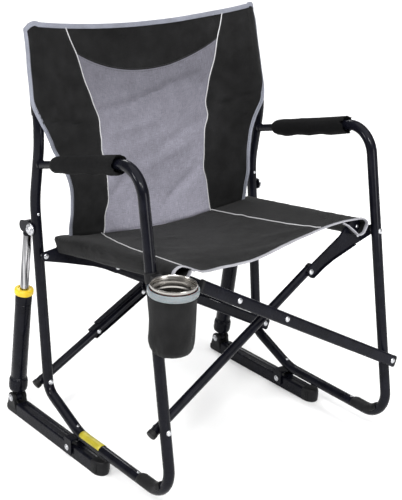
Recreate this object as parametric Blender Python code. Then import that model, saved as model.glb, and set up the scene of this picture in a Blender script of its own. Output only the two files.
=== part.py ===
"""Folding camp rocking chair with gas-spring rockers, as separate pieces.

+Z is up, the sitter faces -Y, and +X is the sitter's left. The chair is drawn
about its own middle plane and shifted at the end, so that the origin is the
centre of its footprint box, on the floor. Lengths are in metres.
"""
import math

import bmesh
import bpy
from mathutils import Matrix, Vector

GAP = 0.0003                # clearance between touching pieces
FACE_GAP = 0.0006           # clearance of a pin's shoulder from a leaning leg

# Side frames: one bent tube each, in the planes x = +-HALF_WIDTH
HALF_WIDTH = 0.295
TUBE_R = 0.0112
FRAME_CORNERS = (           # (y, z) where the straight runs of the tube would meet
    (0.160, 0.604),         # rear end of the arm
    (-0.184, 0.690),        # front of the arm
    (-0.308, 0.050),        # foot of the front leg
    (0.010, 0.053),         # end of the floor runner
    (0.136, 0.106),         # foot of the rear leg
    (0.187, 0.520),         # small of the back
    (0.166, 0.660),         # shoulder of the back
    (0.2165, 0.878),        # top of the back post
)
FRAME_BENDS = (0.060, 0.055, 0.120, 0.035, 0.200, 0.200)
SHOE_R = 0.0158             # outside of the plastic shoe at the foot of the front leg
ARM_PAD_ENDS = (0.108, -0.114)      # y of the two ends of the arm pad
ARM_PAD_R = 0.0196
POST_LEAN = 0.010           # how far the cloth pulls each post top inwards

# Scissor linkage. Its pins are square to a plane that leans back by TILT.
# Inside that plane u runs along X and v runs up; n is the depth along the pins.
TILT = math.radians(8.7)
LOW_PIN_V = 0.145
HIGH_PIN_V = 0.427
CROSS_V = 0.305
KNEE_U = 0.1186
KNEE_V = 0.3686
RAIL_U = 0.245
RAIL_V = 0.453
RAIL_R = 0.008
BAR_HALF = 0.011            # half the height of a flat bar
FRONT_BAR_BEYOND = 0.096    # how far a flat bar runs on past its knee
REAR_BAR_BEYOND = 0.006
ROUND_BAR_R = 0.0095
LINK_HALF = 0.013
PIN_R = 0.003
HEAD_R = 0.006
HEAD_T = 0.003

# Depths n of the layers, from front to back
FRONT_FLAT_N = (-0.3335, -0.3215)
FRONT_LINK_N = (-0.2787, -0.2767)
FRONT_ROUND_N = (-0.2820, -0.2652)      # axis at the leg pin, axis at the knee
REAR_LINK_N = (0.080, 0.082)
REAR_FLAT_N = (0.083, 0.095)
REAR_ROUND_N = (0.141, 0.118)

# Rockers and gas springs
ROCKER_PIVOT = (0.032, 0.020)           # (y, z)
ROCKER_FRONT_Y = -0.055
ROCKER_REAR_Y = 0.249
ROCKER_H = 0.028
ROCKER_HALF = 0.016
SHEET = 0.002
SPRING_LOW = (0.270, 0.035)             # (y, z) of the lower eye
SPRING_HIGH = (0.215, 0.460)            # (y, z) of the upper eye
SPRING_R = 0.018
SPRING_CAP_R = 0.0205
SPRING_MOUTH = 0.262                    # from the lower eye to the mouth of the cylinder
SPRING_BORE_END = 0.158                 # and to the bottom of its bore
ROD_START = 0.215                       # and to the end of the rod inside it
ROD_R = 0.0095
POST_BOLT = (0.180, 0.462)              # (y, z) of the bolt that holds the spring bracket

# Cup holder, in front of the sitter's right front leg
CUP_Z = 0.487               # height of the ring's middle
CUP_REACH = 0.069           # from the leg's axis to the cup's axis
CUP_R = 0.047
CUP_DEPTH = 0.125

ROUND = 12                  # sides of a round piece

SIDES = {"left": 1, "right": -1}

BLACK_STEEL = ((0.02, 0.02, 0.022), 0.3, 0.4)
SILVER = ((0.75, 0.75, 0.76), 0.25, 1.0)
BLACK_PLASTIC = ((0.015, 0.015, 0.016), 0.5, 0.0)
YELLOW_PLASTIC = ((0.85, 0.68, 0.05), 0.4, 0.0)
GREY_PLASTIC = ((0.62, 0.66, 0.68), 0.35, 0.0)
BLACK_CLOTH = ((0.03, 0.03, 0.032), 0.9, 0.0)
BLACK_FOAM = ((0.02, 0.02, 0.022), 0.95, 0.0)


# ---------------------------------------------------------------- scene tools

def clear_scene():
    for item in list(bpy.data.objects):
        bpy.data.objects.remove(item, do_unlink=True)


def surface(name, look):
    colour, roughness, metallic = look
    material = bpy.data.materials.new(name)
    material.use_nodes = True
    shader = material.node_tree.nodes["Principled BSDF"]
    shader.inputs["Base Color"].default_value = (*colour, 1.0)
    shader.inputs["Roughness"].default_value = roughness
    shader.inputs["Metallic"].default_value = metallic
    return material


def pivot(name, place, parent=None):
    """An empty on a joint's axis; the pieces of the moving body hang from it."""
    empty = bpy.data.objects.new(name, None)
    bpy.context.collection.objects.link(empty)
    empty.location = place
    bpy.context.view_layer.update()
    if parent:
        empty.parent = parent
        empty.matrix_parent_inverse = parent.matrix_world.inverted()
        bpy.context.view_layer.update()
    return empty


def piece(name, shape, body, look):
    """Make a named object from a finished mesh and hang it on its body's pivot."""
    mesh = bpy.data.meshes.new(name)
    bmesh.ops.recalc_face_normals(shape, faces=shape.faces)
    shape.to_mesh(mesh)
    shape.free()
    thing = bpy.data.objects.new(name, mesh)
    bpy.context.collection.objects.link(thing)
    mesh.materials.append(surface(name, look))
    mesh.shade_smooth()
    mesh.set_sharp_from_angle(angle=math.radians(40))
    thing.parent = body
    thing.matrix_parent_inverse = body.matrix_world.inverted()
    return thing


def combine(shape, other, operation):
    """The Boolean of two meshes, as a new mesh."""
    things = []
    for source in (shape, other):
        mesh = bpy.data.meshes.new("operand")
        bmesh.ops.recalc_face_normals(source, faces=source.faces)
        source.to_mesh(mesh)
        source.free()
        thing = bpy.data.objects.new("operand", mesh)
        bpy.context.collection.objects.link(thing)
        things.append(thing)
    modifier = things[0].modifiers.new("boolean", "BOOLEAN")
    modifier.operation = operation
    modifier.object = things[1]
    bpy.context.view_layer.update()
    result = bmesh.new()
    result.from_object(things[0], bpy.context.evaluated_depsgraph_get())
    for thing in things:
        bpy.data.objects.remove(thing, do_unlink=True)
    bmesh.ops.dissolve_limit(result, angle_limit=math.radians(0.3), verts=result.verts,
                             edges=result.edges)
    bmesh.ops.triangulate(result, faces=result.faces)
    return result


# --------------------------------------------------------------- shape makers

def tilted(u, v, n):
    """A point of the scissor plane in chair coordinates."""
    return Vector((u, n * math.cos(TILT) + v * math.sin(TILT),
                   -n * math.sin(TILT) + v * math.cos(TILT)))


PIN_AXIS = tilted(0, 0, 1)


def bent_run(corners, radii, steps=6):
    """Points along a run of straights with an arc of the given radius at each corner."""
    corners = [Vector(corner) for corner in corners]
    points = [corners[0]]
    for before, corner, after, radius in zip(corners, corners[1:], corners[2:], radii):
        back = (before - corner).normalized()
        ahead = (after - corner).normalized()
        half = back.angle(ahead) / 2
        centre = corner + (back + ahead).normalized() * radius / math.sin(half)
        start = corner + back * radius / math.tan(half) - centre
        turn = start.angle_signed(corner + ahead * radius / math.tan(half) - centre)
        count = max(2, round(abs(turn) / (math.pi / 2) * steps) + 1)
        for step in range(count + 1):
            angle = -turn * step / count
            points.append(centre + Matrix.Rotation(angle, 2) @ start)
    points.append(corners[-1])
    return points


def circle(radius, sides=ROUND, start=0.0):
    step = 2 * math.pi / sides
    return [(radius * math.cos(start + i * step), radius * math.sin(start + i * step))
            for i in range(sides)]


def ring_faces(shape, first, second):
    count = len(first)
    for i in range(count):
        j = (i + 1) % count
        shape.faces.new((first[i], first[j], second[j], second[i]))


def swept(points, section):
    """A solid with a fixed section swept along a path in a plane of constant x."""
    shape = bmesh.new()
    rings = []
    for i, point in enumerate(points):
        along = (points[min(i + 1, len(points) - 1)] - points[max(i - 1, 0)]).normalized()
        side = Vector((1, 0, 0))
        up = side.cross(along)
        rings.append([shape.verts.new(point + side * a + up * b) for a, b in section])
    for first, second in zip(rings, rings[1:]):
        ring_faces(shape, first, second)
    shape.faces.new(rings[0])
    shape.faces.new(rings[-1])
    return shape


def sleeve(points, outer, inner, sides=16):
    """A hollow sleeve along a path: outer gives the outside radius at each point."""
    shape = bmesh.new()
    skins = []
    for wall in (outer, [inner] * len(points)):
        rings = []
        for i, (point, radius) in enumerate(zip(points, wall)):
            along = (points[min(i + 1, len(points) - 1)] - points[max(i - 1, 0)]).normalized()
            side = Vector((1, 0, 0))
            up = side.cross(along)
            rings.append([shape.verts.new(point + side * a + up * b)
                          for a, b in circle(radius, sides)])
        for first, second in zip(rings, rings[1:]):
            ring_faces(shape, first, second)
        skins.append(rings)
    ring_faces(shape, skins[0][0], skins[1][0])
    ring_faces(shape, skins[0][-1], skins[1][-1])
    return shape


def turned(profile, base, axis, sides=ROUND):
    """A turned solid: profile is (distance along the axis, radius) from end to end."""
    shape = bmesh.new()
    axis = Vector(axis).normalized()
    across = axis.orthogonal().normalized()
    other = axis.cross(across)
    rings = []
    for along, radius in profile:
        centre = Vector(base) + axis * along
        if radius == 0:
            rings.append([shape.verts.new(centre)])
        else:
            rings.append([shape.verts.new(centre + across * a + other * b)
                          for a, b in circle(radius, sides)])
    for first, second in zip(rings, rings[1:]):
        if len(first) == 1 or len(second) == 1:
            tip, ring = (first, second) if len(first) == 1 else (second, first)
            for i in range(sides):
                shape.faces.new((tip[0], ring[i], ring[(i + 1) % sides]))
        else:
            ring_faces(shape, first, second)
    for ring in (rings[0], rings[-1]):
        if len(ring) > 1:
            shape.faces.new(ring)
    return shape


def extruded(outline, place, near, far):
    """A solid from a flat outline: place(a, b, depth) gives each corner."""
    shape = bmesh.new()
    loops = [[shape.verts.new(place(a, b, depth)) for a, b in outline] for depth in (near, far)]
    ring_faces(shape, *loops)
    shape.faces.new(loops[0])
    shape.faces.new(loops[1])
    return shape


def side_on(x, y, z):
    """Placer for outlines drawn in the side view (y, z) and extruded along x."""
    return Vector((z, x, y))


def front_on(x, z, y):
    """Placer for outlines drawn in the front view (x, z) and extruded along y."""
    return Vector((x, y, z))


def rounded_bar(start, end, radius, reach=(0.0, 0.0), steps=6):
    """Outline of a bar with round ends about two points, each pushed out by reach."""
    start, end = Vector(start), Vector(end)
    along = (end - start).normalized()
    start = start - along * reach[0]
    end = end + along * reach[1]
    heading = math.atan2(along.y, along.x)
    outline = []
    for centre, first in ((end, -0.5), (start, 0.5)):
        for i in range(steps + 1):
            angle = heading + math.pi * (first + i / steps)
            outline.append((centre.x + radius * math.cos(angle),
                            centre.y + radius * math.sin(angle)))
    return outline


def bored(shape, centre, axis, radius, reach, sides=ROUND):
    """Drill a round hole through a mesh, reaching the same distance both ways."""
    drill = turned(((-reach, radius), (reach, radius)), centre, axis, sides)
    return combine(shape, drill, "DIFFERENCE")


def stepped_pin(name, body, place, steps, end):
    """A rivet or bolt along the scissor's pin axis: steps are (n where it starts, radius)."""
    profile = []
    stops = [start for start, _ in steps[1:]] + [end]
    for (start, radius), stop in zip(steps, stops):
        profile += [(start, radius), (stop, radius)]
    return piece(name, turned(profile, tilted(*place, 0), PIN_AXIS, 10), body, SILVER)


# ----------------------------------------------------------------- side frame

def frame_path():
    return bent_run(FRAME_CORNERS, FRAME_BENDS)


def leg_n(foot, top):
    """Depths at which the pins pass the axis of the leg between two frame corners."""
    depths = {}
    for height, v in (("low", LOW_PIN_V), ("high", HIGH_PIN_V)):
        ends = []
        for y, z in (FRAME_CORNERS[foot], FRAME_CORNERS[top]):
            ends.append((y * math.sin(TILT) + z * math.cos(TILT),
                         y * math.cos(TILT) - z * math.sin(TILT)))
        (v0, n0), (v1, n1) = ends
        depths[height] = n0 + (n1 - n0) * (v - v0) / (v1 - v0)
    return depths


FRONT_LEG_N = leg_n(2, 1)
REAR_LEG_N = leg_n(4, 5)


def leg_y(z):
    """The y of the front leg's axis at a height."""
    top, foot = FRAME_CORNERS[1], FRAME_CORNERS[2]
    return top[0] + (foot[0] - top[0]) * (top[1] - z) / (top[1] - foot[1])


def post_x(y, z):
    """Distance of the frame tube's axis from the middle plane; the post tops lean inwards."""
    shoulder, top = FRAME_CORNERS[6], FRAME_CORNERS[7]
    rise = max(0.0, (z - shoulder[1]) / (top[1] - shoulder[1])) if y > 0 else 0.0
    return HALF_WIDTH - POST_LEAN * rise


def side_tube(side, body):
    x = SIDES[side] * HALF_WIDTH
    points = [Vector((SIDES[side] * post_x(y, z), y, z)) for y, z in frame_path()]
    shape = swept(points, circle(TUBE_R, ROUND, math.pi / ROUND))
    for leg in (FRONT_LEG_N, REAR_LEG_N):
        for height, v in (("low", LOW_PIN_V), ("high", HIGH_PIN_V)):
            shape = bored(shape, tilted(x, v, leg[height]), PIN_AXIS, PIN_R + GAP, 0.03, 10)
    piece(f"{side}_side_tube", shape, body, BLACK_STEEL)


def arm_pad(side, body):
    """Foam sleeve with tapered ends on the straight of the arm."""
    x = SIDES[side] * HALF_WIDTH
    rear, front = FRAME_CORNERS[0], FRAME_CORNERS[1]
    slope = (front[1] - rear[1]) / (front[0] - rear[0])
    points, radii = [], []
    for share, swell in ((0, 0.78), (0.06, 0.92), (0.14, 0.97), (0.6, 0.98), (0.9, 1.02), (1, 1.04)):
        y = ARM_PAD_ENDS[0] + (ARM_PAD_ENDS[1] - ARM_PAD_ENDS[0]) * share
        points.append(Vector((x, y, rear[1] + slope * (y - rear[0]))))
        radii.append(ARM_PAD_R * swell)
    piece(f"{side}_arm_pad", sleeve(points, radii, TUBE_R + GAP), body, BLACK_FOAM)


def front_foot(side, body):
    """Plastic shoe clipped under the bend at the foot of the front leg."""
    x = SIDES[side] * HALF_WIDTH
    path = [Vector((x, y, z)) for y, z in frame_path()]
    low = [p for p in path if p.z < 0.075 and p.y < -0.2]
    runner_end = low[-1] + Vector((0, 0.035, 0.0003))
    arc = range(8)
    outer = [(SHOE_R * math.cos(a), SHOE_R * math.sin(a))
             for a in (math.radians(5 + 170 * i / 7) for i in arc)]
    inner = [((TUBE_R + GAP) * math.cos(a), (TUBE_R + GAP) * math.sin(a))
             for a in (math.radians(175 - 170 * i / 7) for i in arc)]
    section = [(a, -b) for a, b in outer + inner]
    piece(f"{side}_front_foot", swept([*low, runner_end], section), body, BLACK_PLASTIC)


# --------------------------------------------------------------------- rocker

def yoke(side, body):
    """Inverted U under the runner; its ears carry the rocker's pivot pin."""
    x = SIDES[side] * HALF_WIDTH
    outer = ROCKER_HALF + 0.0045
    inner = ROCKER_HALF + 0.0015
    top = FRAME_CORNERS[3][1] - TUBE_R - 2 * GAP
    outline = [(-outer, 0.008), (-inner, 0.008), (-inner, top - 0.003), (inner, top - 0.003),
               (inner, 0.008), (outer, 0.008), (outer, top), (-outer, top)]
    y = ROCKER_PIVOT[0]
    outline = [(x + a, b) for a, b in outline]
    shape = extruded(outline, front_on, y - 0.015, y + 0.0105)
    shape = bored(shape, (x, *ROCKER_PIVOT), (1, 0, 0), PIN_R + 0.001 + GAP, 0.04)
    piece(f"{side}_yoke", shape, body, BLACK_STEEL)


def rocker_pin(side, body):
    x = SIDES[side] * HALF_WIDTH
    reach = ROCKER_HALF + 0.0045 + GAP
    profile = ((-reach - HEAD_T, 0.007), (-reach, 0.007), (-reach, 0.004), (reach, 0.004),
               (reach, 0.007), (reach + HEAD_T, 0.007))
    piece(f"{side}_rocker_pin", turned(profile, (x, *ROCKER_PIVOT), (1, 0, 0), 10), body, SILVER)


def rocker_bar(side, body):
    """Channel with its web on top, standing on the edges of its flanges."""
    x = SIDES[side] * HALF_WIDTH
    outer, inner = ROCKER_HALF, ROCKER_HALF - SHEET
    outline = [(-outer, 0), (-inner, 0), (-inner, ROCKER_H - SHEET), (inner, ROCKER_H - SHEET),
               (inner, 0), (outer, 0), (outer, ROCKER_H), (-outer, ROCKER_H)]
    outline = [(x + a, b) for a, b in outline]
    shape = extruded(outline, front_on, ROCKER_FRONT_Y, ROCKER_REAR_Y)
    shape = bored(shape, (x, *ROCKER_PIVOT), (1, 0, 0), 0.004 + GAP, 0.03)
    piece(f"{side}_rocker_bar", shape, body, BLACK_STEEL)


def rocker_nose(side, body):
    """Round-ended plastic foot on the front of the rocker bar."""
    x = SIDES[side] * HALF_WIDTH
    start = ROCKER_FRONT_Y - GAP
    outline = [(start, 0), (start, 0.031), (start - 0.016, 0.031), (start - 0.026, 0.027),
               (start - 0.031, 0.018), (start - 0.031, 0.004), (start - 0.028, 0)]
    shape = extruded(outline, side_on, x - 0.0185, x + 0.0185)
    piece(f"{side}_rocker_nose", shape, body, BLACK_PLASTIC)


def rocker_heel(side, body):
    """Forked bracket at the rear of the rocker bar for the spring's lower eye."""
    x = SIDES[side] * HALF_WIDTH
    outer, inner = 0.0165, 0.0085
    outline = [(-outer, 0), (outer, 0), (outer, 0.048), (inner, 0.048), (inner, 0.014),
               (-inner, 0.014), (-inner, 0.048), (-outer, 0.048)]
    outline = [(x + a, b) for a, b in outline]
    shape = extruded(outline, front_on, ROCKER_REAR_Y + GAP, ROCKER_REAR_Y + 0.041)
    shape = bored(shape, (x, *SPRING_LOW), (1, 0, 0), 0.005 + GAP, 0.03)
    piece(f"{side}_rocker_heel", shape, body, BLACK_PLASTIC)


def heel_pin(side, body):
    x = SIDES[side] * HALF_WIDTH
    reach = 0.0165 + GAP
    profile = ((-reach - HEAD_T, 0.008), (-reach, 0.008), (-reach, 0.005), (reach, 0.005),
               (reach, 0.008), (reach + HEAD_T, 0.008))
    piece(f"{side}_heel_pin", turned(profile, (x, *SPRING_LOW), (1, 0, 0), 10), body, SILVER)


# ----------------------------------------------------------------- gas spring

def spring_axis():
    low, high = Vector(SPRING_LOW), Vector(SPRING_HIGH)
    along = (high - low).normalized()
    return Vector((0, *along)), (high - low).length


def spring_rod(side, body):
    x = SIDES[side] * HALF_WIDTH
    axis, length = spring_axis()
    eye_r = ROD_R + 0.001
    rod = turned(((ROD_START, ROD_R), (length - 0.002, ROD_R)), (x, *SPRING_LOW), axis)
    ring = turned(((-0.007, eye_r), (0.007, eye_r)), (x, *SPRING_HIGH), (1, 0, 0), 14)
    shape = combine(rod, ring, "UNION")
    shape = bored(shape, (x, *SPRING_HIGH), (1, 0, 0), 0.005 + GAP, 0.02)
    piece(f"{side}_spring_rod", shape, body, SILVER)


def spring_body(side, body):
    """Cylinder with its stepped lower cap and eye, bored for the rod."""
    x = SIDES[side] * HALF_WIDTH
    axis, _ = spring_axis()
    neck, bore = 0.0075, ROD_R + 0.0006
    profile = ((0.002, neck), (0.016, neck), (0.024, SPRING_R), (0.027, SPRING_CAP_R),
               (0.050, SPRING_CAP_R), (0.053, SPRING_R), (SPRING_MOUTH, SPRING_R),
               (SPRING_MOUTH, bore), (SPRING_BORE_END, bore), (SPRING_BORE_END, 0))
    outer = turned([(0.002, 0)] + list(profile), (x, *SPRING_LOW), axis, 16)
    ring = turned(((-0.007, 0.0105), (0.007, 0.0105)), (x, *SPRING_LOW), (1, 0, 0), 14)
    shape = combine(outer, ring, "UNION")
    shape = bored(shape, (x, *SPRING_LOW), (1, 0, 0), 0.0066, 0.02)
    piece(f"{side}_spring_body", shape, body, BLACK_STEEL)


def spring_collar(side, body):
    """Coloured ring on the mouth of the cylinder."""
    x = SIDES[side] * HALF_WIDTH
    axis, _ = spring_axis()
    base = Vector((x, *SPRING_LOW))
    start, rise = SPRING_MOUTH + GAP, 0.014
    points = [base + axis * (start + rise * share) for share in (0, 0.2, 0.8, 1)]
    radii = (0.0195, 0.0212, 0.0212, 0.0180)
    piece(f"{side}_spring_collar", sleeve(points, radii, ROD_R + 0.0006), body, YELLOW_PLASTIC)


def spring_bracket(side, body):
    """Plate on the outside of the post, with the stud that carries the upper eye."""
    sign = SIDES[side]
    x = sign * HALF_WIDTH
    near, far = sorted((x + sign * (TUBE_R + GAP), x + sign * (TUBE_R + GAP + 0.003)))
    plate = extruded(rounded_bar(POST_BOLT, SPRING_HIGH, 0.0125), side_on, near, far)
    stud = turned(((-0.010, 0.005), (TUBE_R + 0.0015, 0.005)), (x, *SPRING_HIGH), (sign, 0, 0))
    shape = combine(plate, stud, "UNION")
    piece(f"{side}_spring_bracket", shape, body, BLACK_STEEL)


def bracket_bolt(side, body):
    """Domed bolt with a wide washer that clamps the bracket to the post."""
    sign = SIDES[side]
    start = TUBE_R + 2 * GAP + 0.003
    profile = ((start, 0.0125), (start + 0.002, 0.0125), (start + 0.002, 0.008),
               (start + 0.005, 0.0065), (start + 0.006, 0.003))
    base = (sign * HALF_WIDTH, *POST_BOLT)
    piece(f"{side}_bracket_bolt", turned(profile, base, (sign, 0, 0)), body, SILVER)


# -------------------------------------------------------------------- linkage

def low_pin(side):
    return SIDES[side] * HALF_WIDTH, LOW_PIN_V


def high_pin(side):
    return SIDES[side] * HALF_WIDTH, HIGH_PIN_V


def flat_bar(name, depth, beyond, body):
    """Flat bar from the left frame's low pin, past the crossing, to and beyond the right knee."""
    start, end = low_pin("left"), (-KNEE_U, KNEE_V)
    shape = extruded(rounded_bar(start, end, BAR_HALF, (0.004, beyond)), tilted, *depth)
    middle = sum(depth) / 2
    for place in (start, (0, CROSS_V)):
        shape = bored(shape, tilted(*place, middle), PIN_AXIS, PIN_R + GAP, 0.02, 10)
    return piece(name, shape, body, BLACK_STEEL)


def round_bar_n(depth, u):
    """Depth of the round bar's axis where it passes u."""
    share = (u + HALF_WIDTH) / (KNEE_U + HALF_WIDTH)
    return depth[0] + (depth[1] - depth[0]) * share


def round_bar(name, depth, body):
    """Round bar from the right frame's low pin, past the crossing, to the left knee."""
    start = tilted(*low_pin("right"), depth[0])
    end = tilted(KNEE_U, KNEE_V, depth[1])
    along = (end - start).normalized()
    length = (end - start).length
    shape = turned(((-0.020, ROUND_BAR_R), (length + 0.012, ROUND_BAR_R)), start, along)
    for u, v in (low_pin("right"), (0, CROSS_V)):
        centre = tilted(u, v, round_bar_n(depth, u))
        shape = bored(shape, centre, PIN_AXIS, PIN_R + GAP, 0.02, 10)
    return piece(name, shape, body, BLACK_STEEL)


def bar_channel(name, depth, body):
    """Stiffening channel over the round bar, with its web behind it."""
    start = Vector((-HALF_WIDTH, LOW_PIN_V))
    along = (Vector((KNEE_U, KNEE_V)) - start).normalized()
    first, last = 0.150, 0.315
    across = Vector((-along.y, along.x))
    outer, inner = ROUND_BAR_R + GAP + SHEET, ROUND_BAR_R + GAP
    shape = bmesh.new()
    rings = []
    for reach in (first, last):
        centre = start + along * reach
        n = round_bar_n(depth, centre.x)
        section = [(-outer, -0.008), (-inner, -0.008), (-inner, inner), (inner, inner),
                   (inner, -0.008), (outer, -0.008), (outer, outer), (-outer, outer)]
        rings.append([shape.verts.new(tilted(centre.x + across.x * a, centre.y + across.y * a, n + b))
                      for a, b in section])
    ring_faces(shape, *rings)
    for ring in rings:
        shape.faces.new(ring)
    return piece(name, shape, body, BLACK_STEEL)


def link_outline(sign):
    """Outline of a link, drawn for the left side and mirrored for the right."""
    knee, top = Vector((KNEE_U, KNEE_V)), Vector((HALF_WIDTH, HIGH_PIN_V))
    bar = (knee - Vector((-HALF_WIDTH, LOW_PIN_V))).normalized()
    up = Vector((-bar.y, bar.x))
    tail = knee - bar * 0.0085
    outline = [tail + up * LINK_HALF * s for s in (-0.7, 0.7)]
    outline.append(tail + bar * 0.008 + up * LINK_HALF)
    outline.append(knee + bar * 0.102 + up * LINK_HALF)
    outline.append(Vector((RAIL_U - 0.012, RAIL_V + 0.004)))
    outline.append(Vector((RAIL_U + 0.012, RAIL_V + 0.003)))
    outline.append(Vector((RAIL_U + 0.024, RAIL_V - 0.012)))
    for degrees in (70, 30, -10, -50, -80):
        angle = math.radians(degrees)
        outline.append(top + Vector((math.cos(angle), math.sin(angle))) * 0.0105)
    outline.append(Vector((RAIL_U + 0.002, RAIL_V - 0.050)))
    outline.append(knee + bar * 0.030 - up * LINK_HALF)
    outline.append(tail + bar * 0.008 - up * LINK_HALF)
    return [(sign * point.x, point.y) for point in reversed(outline)]


def link(name, side, depth, body):
    sign = SIDES[side]
    shape = extruded(link_outline(sign), tilted, *depth)
    for u, v in (high_pin(side), (sign * KNEE_U, KNEE_V)):
        shape = bored(shape, tilted(u, v, depth[0]), PIN_AXIS, PIN_R + GAP, 0.01, 10)
    return piece(name, shape, body, BLACK_STEEL)


def seat_rail(side, body):
    start, end = FRONT_LINK_N[1] + GAP, REAR_LINK_N[0] - GAP
    profile = ((start, RAIL_R), (end, RAIL_R))
    shape = turned(profile, tilted(SIDES[side] * RAIL_U, RAIL_V, 0), PIN_AXIS)
    return piece(f"{side}_seat_rail", shape, body, BLACK_STEEL)


def pins_of_front(bodies):
    leg_front = {h: n - TUBE_R for h, n in FRONT_LEG_N.items()}
    leg_back = {h: n + TUBE_R for h, n in FRONT_LEG_N.items()}
    flat, web, tube = FRONT_FLAT_N, FRONT_LINK_N, FRONT_ROUND_N
    stepped_pin("front_left_low_pin", bodies["left_frame"], low_pin("left"), (
        (flat[0] - GAP - HEAD_T, HEAD_R), (flat[0] - GAP, PIN_R), (flat[1] + GAP, HEAD_R),
        (leg_front["low"] - FACE_GAP, PIN_R), (leg_back["low"] + FACE_GAP, HEAD_R)),
        leg_back["low"] + FACE_GAP + HEAD_T)
    stepped_pin("front_right_low_pin", bodies["right_frame"], low_pin("right"), (
        (leg_front["low"] - FACE_GAP - HEAD_T, HEAD_R), (leg_front["low"] - FACE_GAP, PIN_R),
        (tube[0] + ROUND_BAR_R + GAP, HEAD_R)), tube[0] + ROUND_BAR_R + GAP + HEAD_T)
    cross = round_bar_n(tube, 0)
    stepped_pin("front_cross_pin", bodies["front_flat_bar"], (0, CROSS_V), (
        (flat[0] - GAP - HEAD_T, HEAD_R), (flat[0] - GAP, PIN_R), (flat[1] + GAP, HEAD_R),
        (cross - ROUND_BAR_R - GAP, PIN_R), (cross + ROUND_BAR_R + GAP, HEAD_R)),
        cross + ROUND_BAR_R + GAP + HEAD_T)
    for side, frame in (("left", "left_frame"), ("right", "right_frame")):
        stepped_pin(f"front_{side}_high_pin", bodies[frame], high_pin(side), (
            (leg_front["high"] - FACE_GAP - HEAD_T, HEAD_R), (leg_front["high"] - FACE_GAP, PIN_R),
            (leg_back["high"] + FACE_GAP, HEAD_R), (web[0] - GAP, PIN_R), (web[1] + GAP, HEAD_R)),
            web[1] + GAP + HEAD_T)
    stepped_pin("front_left_knee_pin", bodies["left_links"], (KNEE_U, KNEE_V), (
        (web[0] - GAP - HEAD_T, HEAD_R), (web[0] - GAP, PIN_R)), web[1])
    stepped_pin("front_right_knee_pin", bodies["right_links"], (-KNEE_U, KNEE_V), (
        (flat[1] + 2 * GAP, HEAD_R), (web[0] - GAP, PIN_R), (web[1] + GAP, HEAD_R)),
        web[1] + GAP + HEAD_T)


def pins_of_rear(bodies):
    leg_front = {h: n - TUBE_R for h, n in REAR_LEG_N.items()}
    leg_back = {h: n + TUBE_R for h, n in REAR_LEG_N.items()}
    flat, web, tube = REAR_FLAT_N, REAR_LINK_N, REAR_ROUND_N
    stepped_pin("rear_left_low_pin", bodies["left_frame"], low_pin("left"), (
        (flat[0] - GAP - HEAD_T, HEAD_R), (flat[0] - GAP, PIN_R), (flat[1] + GAP, HEAD_R),
        (leg_front["low"] - FACE_GAP, PIN_R), (leg_back["low"] + FACE_GAP, HEAD_R)),
        leg_back["low"] + FACE_GAP + HEAD_T)
    stepped_pin("rear_right_low_pin", bodies["right_frame"], low_pin("right"), (
        (leg_front["low"] - FACE_GAP - HEAD_T, HEAD_R), (leg_front["low"] - FACE_GAP, PIN_R),
        (tube[0] + ROUND_BAR_R + GAP, HEAD_R)), tube[0] + ROUND_BAR_R + GAP + HEAD_T)
    cross = round_bar_n(tube, 0)
    stepped_pin("rear_cross_pin", bodies["rear_flat_bar"], (0, CROSS_V), (
        (flat[0] - GAP - HEAD_T, HEAD_R), (flat[0] - GAP, PIN_R), (flat[1] + GAP, HEAD_R),
        (cross - ROUND_BAR_R - GAP, PIN_R), (cross + ROUND_BAR_R + GAP, HEAD_R)),
        cross + ROUND_BAR_R + GAP + HEAD_T)
    for side, frame in (("left", "left_frame"), ("right", "right_frame")):
        stepped_pin(f"rear_{side}_high_pin", bodies[frame], high_pin(side), (
            (web[0] - GAP - HEAD_T, HEAD_R), (web[0] - GAP, PIN_R), (web[1] + GAP, HEAD_R),
            (leg_front["high"] - FACE_GAP, PIN_R), (leg_back["high"] + FACE_GAP, HEAD_R)),
            leg_back["high"] + FACE_GAP + HEAD_T)
    stepped_pin("rear_right_knee_pin", bodies["right_links"], (-KNEE_U, KNEE_V), (
        (web[0] - GAP - HEAD_T, HEAD_R), (web[0] - GAP, PIN_R)), web[1])
    stepped_pin("rear_left_knee_pin", bodies["left_links"], (KNEE_U, KNEE_V), (
        (web[0] - GAP - HEAD_T, HEAD_R), (web[0] - GAP, PIN_R), (web[1] + GAP, HEAD_R)),
        tube[1] - ROUND_BAR_R - 2 * GAP)


# ----------------------------------------------------------------- cup holder

def cup_centre():
    return Vector((-HALF_WIDTH, leg_y(CUP_Z) - CUP_REACH, CUP_Z))


def cup_ring(body):
    """Plastic hoop with a hook that reaches back to the leg."""
    centre = cup_centre()
    profile = [(-0.013, CUP_R - 0.004), (-0.013, CUP_R - 0.0005), (0.006, CUP_R),
               (0.011, CUP_R - 0.001), (0.013, CUP_R - 0.004), (0.013, CUP_R - 0.008),
               (0.008, CUP_R - 0.009), (-0.013, CUP_R - 0.009)]
    shape = bmesh.new()
    rings = []
    for a, b in circle(1.0, 24):
        rings.append([shape.verts.new(centre + Vector((a * r, b * r, h))) for h, r in profile])
    for first, second in zip(rings, rings[1:] + rings[:1]):
        ring_faces(shape, first, second)
    x, near = -HALF_WIDTH, centre.y + CUP_R - 0.004
    far = leg_y(CUP_Z) - TUBE_R - 0.0022
    hook = extruded([(x - 0.010, CUP_Z - 0.011), (x + 0.010, CUP_Z - 0.011),
                     (x + 0.010, CUP_Z + 0.007), (x - 0.010, CUP_Z + 0.007)], front_on, near, far)
    return piece("cup_ring", combine(shape, hook, "UNION"), body, GREY_PLASTIC)


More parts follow.
